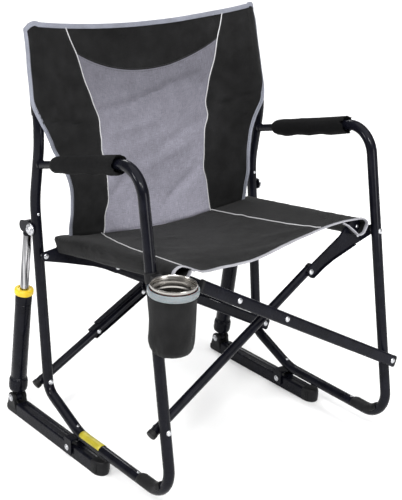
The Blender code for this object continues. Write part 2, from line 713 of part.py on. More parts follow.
def cup_sleeve(body):
    """Fabric bag hung from the hoop, open at the top."""
    centre = cup_centre()
    top, wall = -0.0133, 0.002
    profile = [(top - CUP_DEPTH, 0), (top - CUP_DEPTH, 0.024), (top - CUP_DEPTH + 0.012, 0.033),
               (top - 0.06, 0.041), (top, CUP_R - 0.0015), (top, CUP_R - 0.0015 - wall),
               (top - 0.06, 0.041 - wall), (top - CUP_DEPTH + 0.014, 0.033 - wall),
               (top - CUP_DEPTH + 0.004, 0.022), (top - CUP_DEPTH + 0.004, 0)]
    return piece("cup_sleeve", turned(profile, centre, (0, 0, 1), 16), body, BLACK_CLOTH)


# --------------------------------------------------------------------- fabric

def seat_fabric(body):
    """Seat cloth, laid over the two rails and sagging between them."""
    half, thick, sag = RAIL_U + 0.018, 0.0025, 0.022
    start, end = FRONT_LINK_N[0] - 0.030, REAR_LINK_N[1] + 0.001
    shares, along = (-1, -0.9, -0.6, -0.3, 0, 0.3, 0.6, 0.9, 1), 3
    shape = bmesh.new()
    layers = []
    for lift in (0.0, thick):
        rows = []
        for j in range(along + 1):
            n = start + (end - start) * j / along
            row = []
            for share in shares:
                dip = sag * max(0.0, 1 - (share * 1.12) ** 2)
                v = RAIL_V + RAIL_R + GAP - dip + lift
                row.append(shape.verts.new(tilted(half * share, v, n)))
            rows.append(row)
        layers.append(rows)
    close_sheet(shape, layers)
    piece("seat_fabric", shape, body, BLACK_CLOTH)


def back_stations():
    """Rows of the back cloth: height, half width, y of its side edges, sag to the rear."""
    return ((0.453, 0.240, 0.139, 0.020), (0.500, 0.241, 0.133, 0.034),
            (0.550, 0.243, 0.135, 0.036), (0.600, 0.257, 0.144, 0.029),
            (0.640, 0.278, 0.1510, 0.031), (0.680, 0.297, 0.1545, 0.037),
            (0.740, 0.295, 0.1670, 0.036), (0.800, 0.292, 0.1808, 0.032),
            (0.884, 0.289, 0.1998, 0.030))


def back_fabric(body):
    """Back cloth, stretched between the posts above and the seat rails below."""
    thick, dip = 0.0025, 0.022
    across = 10
    shape = bmesh.new()
    layers = []
    for push in (0.0, thick):
        rows = []
        for height, half, y, sag in back_stations():
            row = []
            for i in range(across + 1):
                share = 2 * i / across - 1
                bow = 1 - share * share
                z = height - (dip * bow if height > 0.88 else 0.0)
                row.append(shape.verts.new(Vector((half * share, y + sag * bow + push, z))))
            rows.append(row)
        layers.append(rows)
    close_sheet(shape, layers)
    piece("back_fabric", shape, body, BLACK_CLOTH)


def close_sheet(shape, layers):
    """Faces of a thin closed sheet from two layers of vertex rows."""
    for rows in layers:
        for lower, upper in zip(rows, rows[1:]):
            for i in range(len(lower) - 1):
                shape.faces.new((lower[i], lower[i + 1], upper[i + 1], upper[i]))
    borders = []
    for rows in layers:
        border = rows[0][:-1] + [row[-1] for row in rows[:-1]]
        border += rows[-1][:0:-1] + [row[0] for row in rows[:0:-1]]
        borders.append(border)
    ring_faces(shape, *borders)


# ------------------------------------------------------------------- assembly

def make_bodies():
    """Empties on the joints' axes, nested as the chair moves."""
    chair = pivot("chair", (0, 0, 0))
    bodies = {"left_frame": chair}
    for end, flat in (("front", FRONT_FLAT_N), ("rear", REAR_FLAT_N)):
        place = tilted(*low_pin("left"), sum(flat) / 2)
        bodies[f"{end}_flat_bar"] = pivot(f"{end}_flat_pivot", place, chair)
        place = tilted(0, CROSS_V, sum(flat) / 2)
        bodies[f"{end}_round_bar"] = pivot(f"{end}_cross", place, bodies[f"{end}_flat_bar"])
    place = tilted(*low_pin("right"), FRONT_LEG_N["low"])
    bodies["right_frame"] = pivot("right_frame_pivot", place, bodies["front_round_bar"])
    for side in SIDES:
        frame = bodies[f"{side}_frame"]
        x = SIDES[side] * HALF_WIDTH
        place = tilted(*high_pin(side), FRONT_LINK_N[0])
        bodies[f"{side}_links"] = pivot(f"{side}_links_pivot", place, frame)
        bodies[f"{side}_rocker"] = pivot(f"{side}_rocker_pivot", (x, *ROCKER_PIVOT), frame)
        bodies[f"{side}_rod"] = pivot(f"{side}_rod_pivot", (x, *SPRING_HIGH), frame)
        bodies[f"{side}_spring"] = pivot(f"{side}_spring_slide", (x, *SPRING_LOW),
                                         bodies[f"{side}_rod"])
    return bodies


def build_side(side, bodies):
    frame, rocker = bodies[f"{side}_frame"], bodies[f"{side}_rocker"]
    for make in (side_tube, arm_pad, front_foot, yoke, rocker_pin, spring_bracket, bracket_bolt):
        make(side, frame)
    for make in (rocker_bar, rocker_nose, rocker_heel, heel_pin):
        make(side, rocker)
    spring_rod(side, bodies[f"{side}_rod"])
    spring_body(side, bodies[f"{side}_spring"])
    spring_collar(side, bodies[f"{side}_spring"])
    seat_rail(side, bodies[f"{side}_links"])
    link(f"front_{side}_link", side, FRONT_LINK_N, bodies[f"{side}_links"])
    link(f"rear_{side}_link", side, REAR_LINK_N, bodies[f"{side}_links"])


def build_linkage(bodies):
    flat_bar("front_flat_bar", FRONT_FLAT_N, FRONT_BAR_BEYOND, bodies["front_flat_bar"])
    flat_bar("rear_flat_bar", REAR_FLAT_N, REAR_BAR_BEYOND, bodies["rear_flat_bar"])
    round_bar("front_round_bar", FRONT_ROUND_N, bodies["front_round_bar"])
    round_bar("rear_round_bar", REAR_ROUND_N, bodies["rear_round_bar"])
    bar_channel("rear_bar_channel", REAR_ROUND_N, bodies["rear_round_bar"])
    pins_of_front(bodies)
    pins_of_rear(bodies)


def centre_on_floor(chair):
    """Shift the chair so that the origin is the centre of its footprint box."""
    bpy.context.view_layer.update()
    corners = [thing.matrix_world @ vertex.co
               for thing in bpy.data.objects if thing.type == "MESH"
               for vertex in thing.data.vertices]
    for axis in (0, 1):
        values = [corner[axis] for corner in corners]
        chair.location[axis] = -(min(values) + max(values)) / 2
    bpy.context.view_layer.update()


def main():
    clear_scene()
    bodies = make_bodies()
    for side in SIDES:
        build_side(side, bodies)
    build_linkage(bodies)
    cup_ring(bodies["right_frame"])
    cup_sleeve(bodies["right_frame"])
    seat_fabric(bodies["left_frame"])
    back_fabric(bodies["left_frame"])
    centre_on_floor(bodies["left_frame"])


main()
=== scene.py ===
import math

import bmesh
import bpy
from mathutils import Matrix, Vector, noise
from mathutils.bvhtree import BVHTree


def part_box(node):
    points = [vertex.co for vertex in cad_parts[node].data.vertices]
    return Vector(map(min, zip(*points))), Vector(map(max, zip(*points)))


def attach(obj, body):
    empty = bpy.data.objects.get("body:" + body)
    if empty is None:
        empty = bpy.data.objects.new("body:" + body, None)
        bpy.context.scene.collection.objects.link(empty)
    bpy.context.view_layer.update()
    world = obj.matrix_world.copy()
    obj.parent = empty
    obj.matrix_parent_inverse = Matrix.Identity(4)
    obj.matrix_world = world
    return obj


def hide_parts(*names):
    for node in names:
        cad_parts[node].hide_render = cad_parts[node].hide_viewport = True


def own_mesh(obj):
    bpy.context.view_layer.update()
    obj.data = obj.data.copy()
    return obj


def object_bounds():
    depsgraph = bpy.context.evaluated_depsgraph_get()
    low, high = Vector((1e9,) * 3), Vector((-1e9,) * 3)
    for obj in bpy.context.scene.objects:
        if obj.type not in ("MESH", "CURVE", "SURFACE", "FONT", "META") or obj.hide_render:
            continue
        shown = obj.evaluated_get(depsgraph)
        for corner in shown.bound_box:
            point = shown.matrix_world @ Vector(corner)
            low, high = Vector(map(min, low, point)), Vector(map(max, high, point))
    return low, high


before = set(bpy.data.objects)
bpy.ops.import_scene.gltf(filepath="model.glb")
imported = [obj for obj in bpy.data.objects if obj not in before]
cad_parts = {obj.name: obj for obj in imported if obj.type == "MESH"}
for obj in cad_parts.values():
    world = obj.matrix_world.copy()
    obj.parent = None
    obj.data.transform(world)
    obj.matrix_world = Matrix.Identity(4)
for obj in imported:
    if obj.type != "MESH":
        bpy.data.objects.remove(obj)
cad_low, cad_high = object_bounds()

# The looks of the camp rocking chair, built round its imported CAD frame. Shapes are worked
# out in the chair's own coordinates, where x = 0 is the middle plane, and each finished
# mesh is moved by SHIFT into the row frame.

# ------------------------------------------------------------------ the frame

# Side tubes: (y, z) where the straight runs would meet, and the radius of each bend.
HALF_WIDTH = 0.295
TUBE_R = 0.0112
POST_LEAN = 0.010
FRAME_CORNERS = ((0.160, 0.604), (-0.184, 0.690), (-0.308, 0.050), (0.010, 0.053),
                 (0.136, 0.106), (0.187, 0.520), (0.166, 0.660), (0.2165, 0.878))
FRAME_BENDS = (0.060, 0.055, 0.120, 0.035, 0.200, 0.200)
# Linkage, in its tilted plane: u across, v up the plane and n, the depth along the pins.
TILT = math.radians(8.7)
LOW_PIN_V, HIGH_PIN_V = 0.145, 0.427
KNEE_U, KNEE_V = 0.1186, 0.3686
RAIL_U, RAIL_V, RAIL_R = 0.245, 0.453, 0.008
BAR_HALF = 0.0126
FRONT_BAR_BEYOND = 0.090
ROUND_BAR_R = 0.0095
LINK_HALF, LINK_RIM = 0.0138, 0.0046
RIVET_SWELL = 0.0026
FRONT_FLAT_N = (-0.3335, -0.3215)
FRONT_LINK_N = (-0.2787, -0.2767)
FRONT_ROUND_N = (-0.2820, -0.2652)
REAR_LINK_N = (0.080, 0.082)
REAR_FLAT_N = (0.083, 0.095)
REAR_ROUND_N = (0.141, 0.118)
# Rockers, springs, post bolts and the cup's hoop: (y, z), lengths and radii.
ROCKER_PIVOT = (0.032, 0.020)
ROCKER_FRONT_Y, ROCKER_REAR_Y = -0.055, 0.249
ROCKER_H, ROCKER_HALF = 0.028, 0.016
SPRING_LOW, SPRING_HIGH = (0.270, 0.035), (0.215, 0.460)
SPRING_R, ROD_R = 0.018, 0.0095
SPRING_MOUTH, SPRING_BORE_END, ROD_START = 0.262, 0.158, 0.215
POST_BOLT = (0.180, 0.462)
CUP_Z, CUP_REACH, CUP_R = 0.487, 0.069, 0.047
SIDES = {"left": 1, "right": -1}
ENDS = ("front", "rear")
ACROSS = Vector((1, 0, 0))

pin_low, pin_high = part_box("left_heel_pin")
SHIFT = (pin_low + pin_high) / 2 - Vector((HALF_WIDTH, *SPRING_LOW))


def tilted(u, v, n):
    """A point of the scissor's tilted plane: u across, v up the plane, n along the pins."""
    return Vector((u, n * math.cos(TILT) + v * math.sin(TILT),
                   -n * math.sin(TILT) + v * math.cos(TILT)))


PIN_AXIS = tilted(0, 0, 1)
UP_AXIS = tilted(0, 1, 0)


def smooth(a, b, t):
    """0 before a, 1 after b, and a smooth step between."""
    t = min(1.0, max(0.0, (t - a) / (b - a)))
    return t * t * (3 - 2 * t)


def mix(a, b, t):
    return a + (b - a) * t


def table(stations, at, column):
    """A column of a table, read smoothly between its rows; rows go up by their first value."""
    if at <= stations[0][0]:
        return stations[0][column]
    if at >= stations[-1][0]:
        return stations[-1][column]
    for i in range(len(stations) - 1):
        if at <= stations[i + 1][0]:
            break
    x0, x1 = stations[i][0], stations[i + 1][0]
    y0, y1 = stations[i][column], stations[i + 1][column]
    before = stations[max(i - 1, 0)]
    after = stations[min(i + 2, len(stations) - 1)]
    h = x1 - x0
    m0 = (y1 - before[column]) / (x1 - before[0]) * h
    m1 = (after[column] - y0) / (after[0] - x0) * h
    t = (at - x0) / h
    return ((2 * t ** 3 - 3 * t ** 2 + 1) * y0 + (t ** 3 - 2 * t ** 2 + t) * m0
            + (3 * t ** 2 - 2 * t ** 3) * y1 + (t ** 3 - t ** 2) * m1)


# ------------------------------------------------------------------ materials

RIB_PITCH = 0.0009

class Look:
    """A Principled material and the few node moves that the surfaces here share."""

    def __init__(self, name, **settings):
        self.material = bpy.data.materials.new(name)
        self.material.use_nodes = True
        self.nodes = self.material.node_tree.nodes
        self.links = self.material.node_tree.links
        self.shader = self.nodes["Principled BSDF"]
        for socket, value in settings.items():
            self.shader.inputs[socket.replace("_", " ")].default_value = value
        self.object = self.nodes.new("ShaderNodeTexCoord").outputs["Object"]
        self.relief = None

    def feed(self, socket, value):
        """Link another node's output to a socket, or set a plain number or colour on it."""
        if hasattr(value, "links"):
            self.links.new(value, socket)
        else:
            socket.default_value = (*value, 1.0) if socket.type == "RGBA" else value

    def node(self, kind, **inputs):
        made = self.nodes.new("ShaderNode" + kind)
        for socket, value in inputs.items():
            self.feed(made.inputs[socket.replace("_", " ")], value)
        return made

    def math(self, operation, *values):
        made = self.nodes.new("ShaderNodeMath")
        made.operation = operation
        for socket, value in zip(made.inputs, values):
            self.feed(socket, value)
        return made.outputs[0]

    def stretched(self, scale, source=None):
        made = self.nodes.new("ShaderNodeMapping")
        made.inputs["Scale"].default_value = scale
        self.feed(made.inputs["Vector"], source or self.object)
        return made.outputs[0]

    def noise(self, scale, detail=3.0, source=None):
        return self.node("TexNoise", Vector=source or self.object, Scale=scale,
                         Detail=detail).outputs["Fac"]

    def cells(self, scale, source=None):
        """Distance to the nearest of many small cells."""
        return self.node("TexVoronoi", Vector=source or self.object,
                         Scale=scale).outputs["Distance"]

    def flat(self):
        """The cloth's own flat coordinates in metres: the whole vector, then its two parts."""
        layer = self.nodes.new("ShaderNodeAttribute")
        layer.attribute_name = "cloth"
        vector = layer.outputs["Vector"]
        u, v, _ = self.node("SeparateXYZ", Vector=vector).outputs
        return vector, u, v

    def ramp(self, source, low, high, start=0.3, end=0.7):
        """Values or colours from low to high as the source goes from start to end."""
        made = self.nodes.new("ShaderNodeValToRGB")
        for element, place, value in zip(made.color_ramp.elements, (start, end), (low, high)):
            element.position = place
            colour = value if hasattr(value, "__len__") else (value,) * 3
            element.color = (*colour, 1.0)
        self.feed(made.inputs["Fac"], source)
        return made.outputs["Color"]

    def blend(self, share, first, second, how="MIX"):
        made = self.nodes.new("ShaderNodeMix")
        made.data_type = "RGBA"
        made.blend_type = how
        for place, value in ((0, share), (6, first), (7, second)):
            self.feed(made.inputs[place], value)
        return made.outputs[2]

    def times(self, first, second):
        return self.blend(1.0, first, second, "MULTIPLY")

    def colour(self, source):
        self.feed(self.shader.inputs["Base Color"], source)

    def roughness(self, source):
        self.feed(self.shader.inputs["Roughness"], source)

    def bump(self, height, distance, strength):
        """Relief, added to what the surface has already."""
        under = {"Normal": self.relief} if self.relief else {}
        self.relief = self.node("Bump", Height=height, Distance=distance, Strength=strength,
                                **under).outputs["Normal"]
        self.feed(self.shader.inputs["Normal"], self.relief)


def powder_coat():
    """Gloss black powder coat: orange peel, faint dust and small scuffed marks."""
    look = Look("black_powder_coat", Specular_IOR_Level=0.04, Coat_Weight=0.15,
                Coat_Roughness=0.08)
    dust = look.noise(38.0, 4.0)
    marks = look.noise(260.0, 2.0, look.stretched((1.0, 1.0, 0.18)))
    base = look.ramp(dust, (0.0020, 0.0021, 0.0040), (0.0050, 0.0053, 0.0090))
    look.colour(look.blend(look.ramp(marks, 0.0, 0.5, 0.66, 0.78), base, (0.018, 0.018, 0.020)))
    look.roughness(look.ramp(look.noise(90.0), 0.2, 0.36))
    look.bump(look.noise(1100.0, 1.5), 0.00003, 0.4)
    return look.material


def zinc():
    """Bright plated steel of the rivets and bolts."""
    look = Look("zinc_steel", Metallic=1.0)
    look.colour(look.ramp(look.noise(420.0, 4.0), (0.34, 0.35, 0.37), (0.62, 0.62, 0.64)))
    look.roughness(look.ramp(look.noise(700.0), 0.2, 0.42))
    look.bump(look.noise(1500.0, 2.0), 0.00008, 0.5)
    return look.material


def ground_rod():
    """Polished rod with fine rings from grinding, and painted reflection streaks along it."""
    look = Look("polished_rod", Metallic=1.0)
    rings = look.noise(1.0, 3.0, look.stretched((30.0, 30.0, 2600.0)))
    # Painted reflection: dark and bright streaks along the rod, mixed into its colour.
    painted_reflection_streaks = look.noise(1.0, 2.0, look.stretched((230.0, 160.0, 2.0)))
    look.colour(look.blend(
        0.3, look.ramp(painted_reflection_streaks, (0.035, 0.035, 0.04), (0.50, 0.50, 0.51), 0.42, 0.6),
        look.ramp(rings, (0.20, 0.20, 0.21), (0.46, 0.46, 0.47))))
    look.roughness(look.ramp(rings, 0.1, 0.2))
    return look.material


def brushed_liner():
    """Drawn stainless steel, brushed round its axis."""
    look = Look("brushed_liner", Metallic=1.0)
    rings = look.noise(1.0, 4.0, look.stretched((16.0, 16.0, 1800.0)))
    look.colour(look.ramp(rings, (0.22, 0.21, 0.195), (0.52, 0.50, 0.475)))
    look.roughness(look.ramp(rings, 0.18, 0.34))
    look.bump(rings, 0.00005, 0.4)
    return look.material


def moulded(name, low, high, rough=(0.42, 0.58), grain=0.00015, **settings):
    """Moulded plastic with a fine grain."""
    look = Look(name, **settings)
    look.colour(look.ramp(look.noise(55.0, 4.0), low, high))
    look.roughness(look.ramp(look.noise(300.0), *rough))
    look.bump(look.cells(1500.0), grain, 0.6)
    return look.material


def woven(name, warp, weft, pitch=0.0011, dust_and_painted_shade_range=(0.6, 1.35), painted_low_light=1.0):
    """Plain-woven cloth. Its patches span a given range and are partly dust and partly painted
    shade of wrinkles; its tone low down is scaled by a given factor, as painted light.
    """
    look = Look(name, Roughness=0.8, Sheen_Weight=0.05, Sheen_Roughness=0.45,
                Specular_IOR_Level=0.12)
    flat, u, v = look.flat()
    uneven = look.math("MULTIPLY", *(look.noise(1.0, 2.0, look.stretched(scale, flat))
                                     for scale in ((60.0, 900.0, 1.0), (900.0, 60.0, 1.0))))
    over = look.math("MULTIPLY", *(look.math("SINE", look.math("MULTIPLY", way, math.pi / pitch))
                                   for way in (u, v)))
    threads = look.blend(look.ramp(over, 0.0, 1.0, 0.35, 0.65), warp, weft)
    threads = look.blend(0.55, threads, look.ramp(uneven, 0.55, 1.35, 0.12, 0.4), "MULTIPLY")
    # Patches, partly dust and partly painted shade that stands in for the shade of wrinkles.
    dust_and_painted_shade_patches = look.times(*(look.ramp(look.noise(*size), *dust_and_painted_shade_range, 0.3, 0.72)
                         for size in ((7.0, 5.0), (34.0, 3.0))))
    # Painted light: the cloth's tone is scaled up low down, where the lamps leave it darker.
    height = look.node("SeparateXYZ", Vector=look.object).outputs[2]
    wear_and_painted_light = look.ramp(height, painted_low_light, 1.0, 0.44, 0.74)
    look.colour(look.times(look.times(threads, dust_and_painted_shade_patches), wear_and_painted_light))
    look.bump(look.math("ADD", look.math("ABSOLUTE", over), uneven), 0.00035, 0.7)
    return look.material


def webbing(name, low, high):
    """Ribbed tape and corded piping: threads that run across the strip."""
    look = Look(name, Roughness=0.7, Sheen_Weight=0.05, Sheen_Roughness=0.4,
                Specular_IOR_Level=0.15)
    _, along, _ = look.flat()
    ribs = look.math("SINE", look.math("MULTIPLY", along, 2 * math.pi / RIB_PITCH))
    tone = look.math("ADD", look.math("MULTIPLY", ribs, 0.18), look.noise(900.0, 3.0))
    # Uneven wear of the tape; no light is painted here.
    wear_and_painted_light = look.ramp(look.noise(26.0, 4.0), 0.78, 1.06, 0.3, 0.7)
    look.colour(look.times(look.ramp(tone, low, high, 0.25, 0.75), wear_and_painted_light))
    look.bump(tone, 0.00025, 0.7)
    return look.material


def knitted(name, low, high):
    """Soft knitted cover of the arm pads, where no flat coordinates survive the remesh."""
    look = Look(name, Roughness=0.85, Sheen_Weight=0.015, Sheen_Roughness=0.5,
                Specular_IOR_Level=0.04)
    cells = look.cells(1150.0, look.stretched((1.0, 0.6, 1.0)))
    look.colour(look.blend(0.5, look.ramp(cells, low, high, 0.1, 0.6),
                           look.ramp(look.noise(9.0, 5.0), 0.7, 1.2), "MULTIPLY"))
    look.bump(cells, 0.0003, 0.7)
    look.bump(look.noise(90.0, 3.0), 0.0006, 0.5)
    return look.material


BLACK_STEEL = powder_coat()
ZINC = zinc()
ROD = ground_rod()
LINER = brushed_liner()
BLACK_PLASTIC = moulded("black_plastic", (0.004, 0.004, 0.0045), (0.010, 0.010, 0.011),
                        Specular_IOR_Level=0.16)
YELLOW = moulded("yellow_plastic", (0.60, 0.40, 0.006), (0.80, 0.56, 0.014),
                 rough=(0.3, 0.42), grain=0.00008)
GREY_PLASTIC = moulded("grey_plastic", (0.125, 0.148, 0.158), (0.185, 0.208, 0.222),
                       rough=(0.25, 0.4), grain=0.00006, Subsurface_Weight=0.1)
LABEL = moulded("yellow_label", (0.29, 0.245, 0.008), (0.42, 0.355, 0.022),
                rough=(0.35, 0.5), grain=0.00004)
# The cloths' patches are partly dust and partly painted shade, and their lower parts are made
# lighter as painted light.
BLACK_CLOTH = woven("black_cloth", (0.0068, 0.0068, 0.0071), (0.0135, 0.0135, 0.0138),
                    painted_low_light=1.15)
GREY_CLOTH = woven("grey_cloth", (0.122, 0.119, 0.142), (0.187, 0.183, 0.214),
                   pitch=0.0013, dust_and_painted_shade_range=(0.92, 1.06), painted_low_light=2.15)
PAD_CLOTH = knitted("pad_cloth", (0.0026, 0.0026, 0.0028), (0.0075, 0.0075, 0.0079))
GREY_TAPE = webbing("grey_tape", (0.15, 0.158, 0.190), (0.255, 0.265, 0.310))
LIGHT_TAPE = webbing("light_tape", (0.24, 0.24, 0.26), (0.38, 0.38, 0.41))
PIPING = webbing("light_piping", (0.42, 0.42, 0.43), (0.62, 0.62, 0.63))
THREAD = webbing("dark_thread", (0.03, 0.03, 0.031), (0.06, 0.06, 0.062))

# ---------------------------------------------------------------- mesh helpers

SMOOTH_ANGLE = math.radians(38)
SKIN = 0.0011                 # thickness of the back and the seat
BEND_STEPS = 14
TIP_R = 1e-6                  # a turned ring smaller than this is a single point
DOME_LIP, DOME_STEPS = 0.0006, 5


def into_scene(name, data):
    thing = bpy.data.objects.new(name, data)
    bpy.context.scene.collection.objects.link(thing)
    return thing


def soften_edges(thing, width, steps, angle):
    rounding = thing.modifiers.new("edges", "BEVEL")
    rounding.width = width
    rounding.segments = steps
    rounding.limit_method = "ANGLE"
    rounding.angle_limit = math.radians(angle)


def thicken(thing, thickness=SKIN, offset=0.0):
    skin = thing.modifiers.new("skin", "SOLIDIFY")
    skin.thickness = thickness
    skin.offset = offset


def piece(name, shape, materials, body, replaces=None, bevel=0.0, bevel_steps=2,
          recalc=True):
    """A named object from a finished mesh, moved into the row frame and put on its body."""
    if recalc:
        bmesh.ops.recalc_face_normals(shape, faces=shape.faces)
    mesh = bpy.data.meshes.new(name)
    shape.to_mesh(mesh)
    shape.free()
    mesh.transform(Matrix.Translation(SHIFT))
    mesh.shade_smooth()
    mesh.set_sharp_from_angle(angle=SMOOTH_ANGLE)
    thing = into_scene(name, mesh)
    for material in (materials if isinstance(materials, list) else [materials]):
        mesh.materials.append(material)
    if bevel:
        soften_edges(thing, bevel, bevel_steps, 40)
    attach(thing, body)
    if replaces:
        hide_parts(replaces)
    return thing


def bent_run(corners, radii):
    """A polyline with its corners rounded by arcs."""
    points = [Vector(p) for p in corners]
    run = [points[0]]
    for before, corner, after, radius in zip(points, points[1:], points[2:], radii):
        a, b = (before - corner).normalized(), (after - corner).normalized()
        half = a.angle(b) / 2
        centre = corner + (a + b).normalized() * radius / math.sin(half)
        first = corner + a * radius / math.tan(half) - centre
        last = corner + b * radius / math.tan(half) - centre
        turn = first.angle(last)
        for i in range(BEND_STEPS + 1):
            t = i / BEND_STEPS
            run.append(centre + (first * math.sin((1 - t) * turn)
                                 + last * math.sin(t * turn)) / math.sin(turn))
    run.append(points[-1])
    return run


def frames_along(points, sides):
    """For each point of a path: the point, and two directions square to the path.

    sides is None, a first direction, carried along, or a list with one for every point.
    """
    found = []
    side = (points[1] - points[0]).orthogonal() if sides is None else sides
    for i, point in enumerate(points):
        along = points[min(i + 1, len(points) - 1)] - points[max(i - 1, 0)]
        along.normalize()
        if isinstance(sides, list):
            side = sides[i]
        side = (side - along * side.dot(along)).normalized()
        found.append((point, side.copy(), along.cross(side)))
    return found


def circle(radius, sides):
    return [(radius * math.cos(2 * math.pi * i / sides),
             radius * math.sin(2 * math.pi * i / sides)) for i in range(sides)]


def arc(x, y, radius, start, stop, steps):
    """Points of an arc, its two angles given in degrees."""
    angles = [math.radians(start + (stop - start) * i / steps) for i in range(steps + 1)]
    return [(x + radius * math.cos(a), y + radius * math.sin(a)) for a in angles]


def strip_faces(shape, first, second, closed=True):
    count = len(first)
    for i in range(count if closed else count - 1):
        j = (i + 1) % count
        shape.faces.new((first[i], first[j], second[j], second[i]))


def fan_faces(shape, ring, tip):
    for i, vert in enumerate(ring):
        shape.faces.new((tip, vert, ring[(i + 1) % len(ring)]))


def join_rings(shape, rings, closed=False):
    """Faces from each ring to the next, and from the last to the first if closed."""
    for first, second in zip(rings, rings[1:] + (rings[:1] if closed else [])):
        strip_faces(shape, first, second)


def sweep(shape, points, section, side=None):
    """A section carried along a path. section is a list of points, or a function of the step."""
    cloth = shape.verts.layers.float_vector.get("cloth")
    rings, run = [], 0.0
    for i, (point, a, b) in enumerate(frames_along(points, side)):
        if i:
            run += (points[i] - points[i - 1]).length
        outline = section(i) if callable(section) else section
        ring = [shape.verts.new(point + a * x + b * y) for x, y in outline]
        if cloth:
            for vert, (x, y) in zip(ring, outline):
                vert[cloth] = (run, x, 0)
        rings.append(ring)
    join_rings(shape, rings)
    shape.faces.new(rings[0])
    shape.faces.new(rings[-1])


def lathe(shape, profile, base, axis, sides):
    """A turned solid: profile is (distance along the axis, radius)."""
    axis = Vector(axis).normalized()
    a = axis.orthogonal().normalized()
    b = axis.cross(a)
    rings = []
    for height, radius in profile:
        centre = Vector(base) + axis * height
        outline = circle(radius, sides) if radius >= TIP_R else [(0.0, 0.0)]
        rings.append([shape.verts.new(centre + a * x + b * y) for x, y in outline])
    for first, second in zip(rings, rings[1:]):
        if len(first) == len(second) == 1:
            continue
        if len(first) == 1:
            fan_faces(shape, second, first[0])
        elif len(second) == 1:
            fan_faces(shape, first, second[0])
        else:
            strip_faces(shape, first, second)
    for ring in (rings[0], rings[-1]):
        if len(ring) > 1:
            shape.faces.new(ring)


def prism(shape, ends):
    """Two outlines of points in space, joined and closed at both ends."""
    rings = [[shape.verts.new(point) for point in end] for end in ends]
    strip_faces(shape, *rings)
    for ring in rings:
        shape.faces.new(ring)


def plate(shape, outline, place, near, far):
    """A flat outline given thickness; place(a, b, depth) puts a point in space."""
    prism(shape, [[place(a, b, depth) for a, b in outline] for depth in (near, far)])


def upright_rings(shape, profile, base, sides):
    return [[shape.verts.new(base + Vector((x, y, height))) for x, y in circle(radius, sides)]
            for height, radius in profile]


def lathe_sheet(shape, profile, base, sides):
    """A sheet turned about z: open at its first ring, and ending in a tip."""
    rings = upright_rings(shape, profile[:-1], base, sides)
    join_rings(shape, rings)
    fan_faces(shape, rings[-1], shape.verts.new(base + Vector((0, 0, profile[-1][0]))))


def seen_from_side(a, b, depth):
    return Vector((depth, a, b))


def seen_from_front(a, b, depth):
    return Vector((a, depth, b))


def rounded_rect(width, height, radius):
    points = []
    for x, y, start in ((1, 1, 0), (-1, 1, 90), (-1, -1, 180), (1, -1, 270)):
        points += arc(x * (width / 2 - radius), y * (height / 2 - radius), radius, start,
                      start + 90, 6)
    return points


def dome(start, radius, height):
    """Profile of a rivet head: a short lip and a low dome, from start outwards."""
    lip = start + (DOME_LIP if height > 0 else -DOME_LIP)
    profile = [(start, radius), (lip, radius)]
    for i in range(1, DOME_STEPS + 1):
        angle = math.pi / 2 * i / DOME_STEPS
        profile.append((lip + (start + height - lip) * math.sin(angle),
                        radius * math.cos(angle)))
    return profile


def new_shape(cloth=False):
    shape = bmesh.new()
    if cloth:
        shape.verts.layers.float_vector.new("cloth")
    return shape


# ----------------------------------------------------------------- side frames

def post_x(y, z):
    """Distance of the tube's axis from the middle plane; the posts lean in toward their tops."""
    shoulder, top = FRAME_CORNERS[6], FRAME_CORNERS[7]
    rise = max(0.0, (z - shoulder[1]) / (top[1] - shoulder[1])) if y > 0 else 0.0
    return HALF_WIDTH - POST_LEAN * rise


# The tube ends a little below the top of the cloth sleeve that hides it.
TUBE_TOP = Vector(FRAME_CORNERS[6]).lerp(Vector(FRAME_CORNERS[7]), 0.945)
FRAME_RUN = [(p.x, p.y) for p in bent_run([*FRAME_CORNERS[:7], TUBE_TOP], FRAME_BENDS)]
STUB_R, SHOE_R = 0.0082, 0.0158
RIB_R = 0.0011


def even_run(points, step):
    """The same path with no stretch longer than step."""
    found = [points[0]]
    for a, b in zip(points, points[1:]):
        count = max(1, math.ceil((b - a).length / step))
        found += [a.lerp(b, i / count) for i in range(1, count + 1)]
    return found


def side_tube(side):
    """The bent tube, drawn down to a thin stub where the arm meets the post."""
    points = [Vector((SIDES[side] * post_x(y, z), y, z)) for y, z in FRAME_RUN]
    points = even_run(points, 0.02)

    def section(i):
        on_arm = i < 12
        stub = smooth(0.095, 0.112, points[i].y) if on_arm else 0.0
        return circle(mix(TUBE_R, STUB_R, stub), 30)

    shape = new_shape()
    sweep(shape, points, section, side=ACROSS)
    lathe(shape, [(-0.0035, 0), (-0.003, 0.006), (0.0005, 0.0098), (0.006, 0.0098),
                  (0.0065, 0.0066), (0.0065, 0)],
          points[0] + Vector((0, 0.006, 0)), (0, -1, 0.25), 24)
    piece(f"{side}_tube", shape, BLACK_STEEL, f"{side}_frame", f"{side}_side_tube")


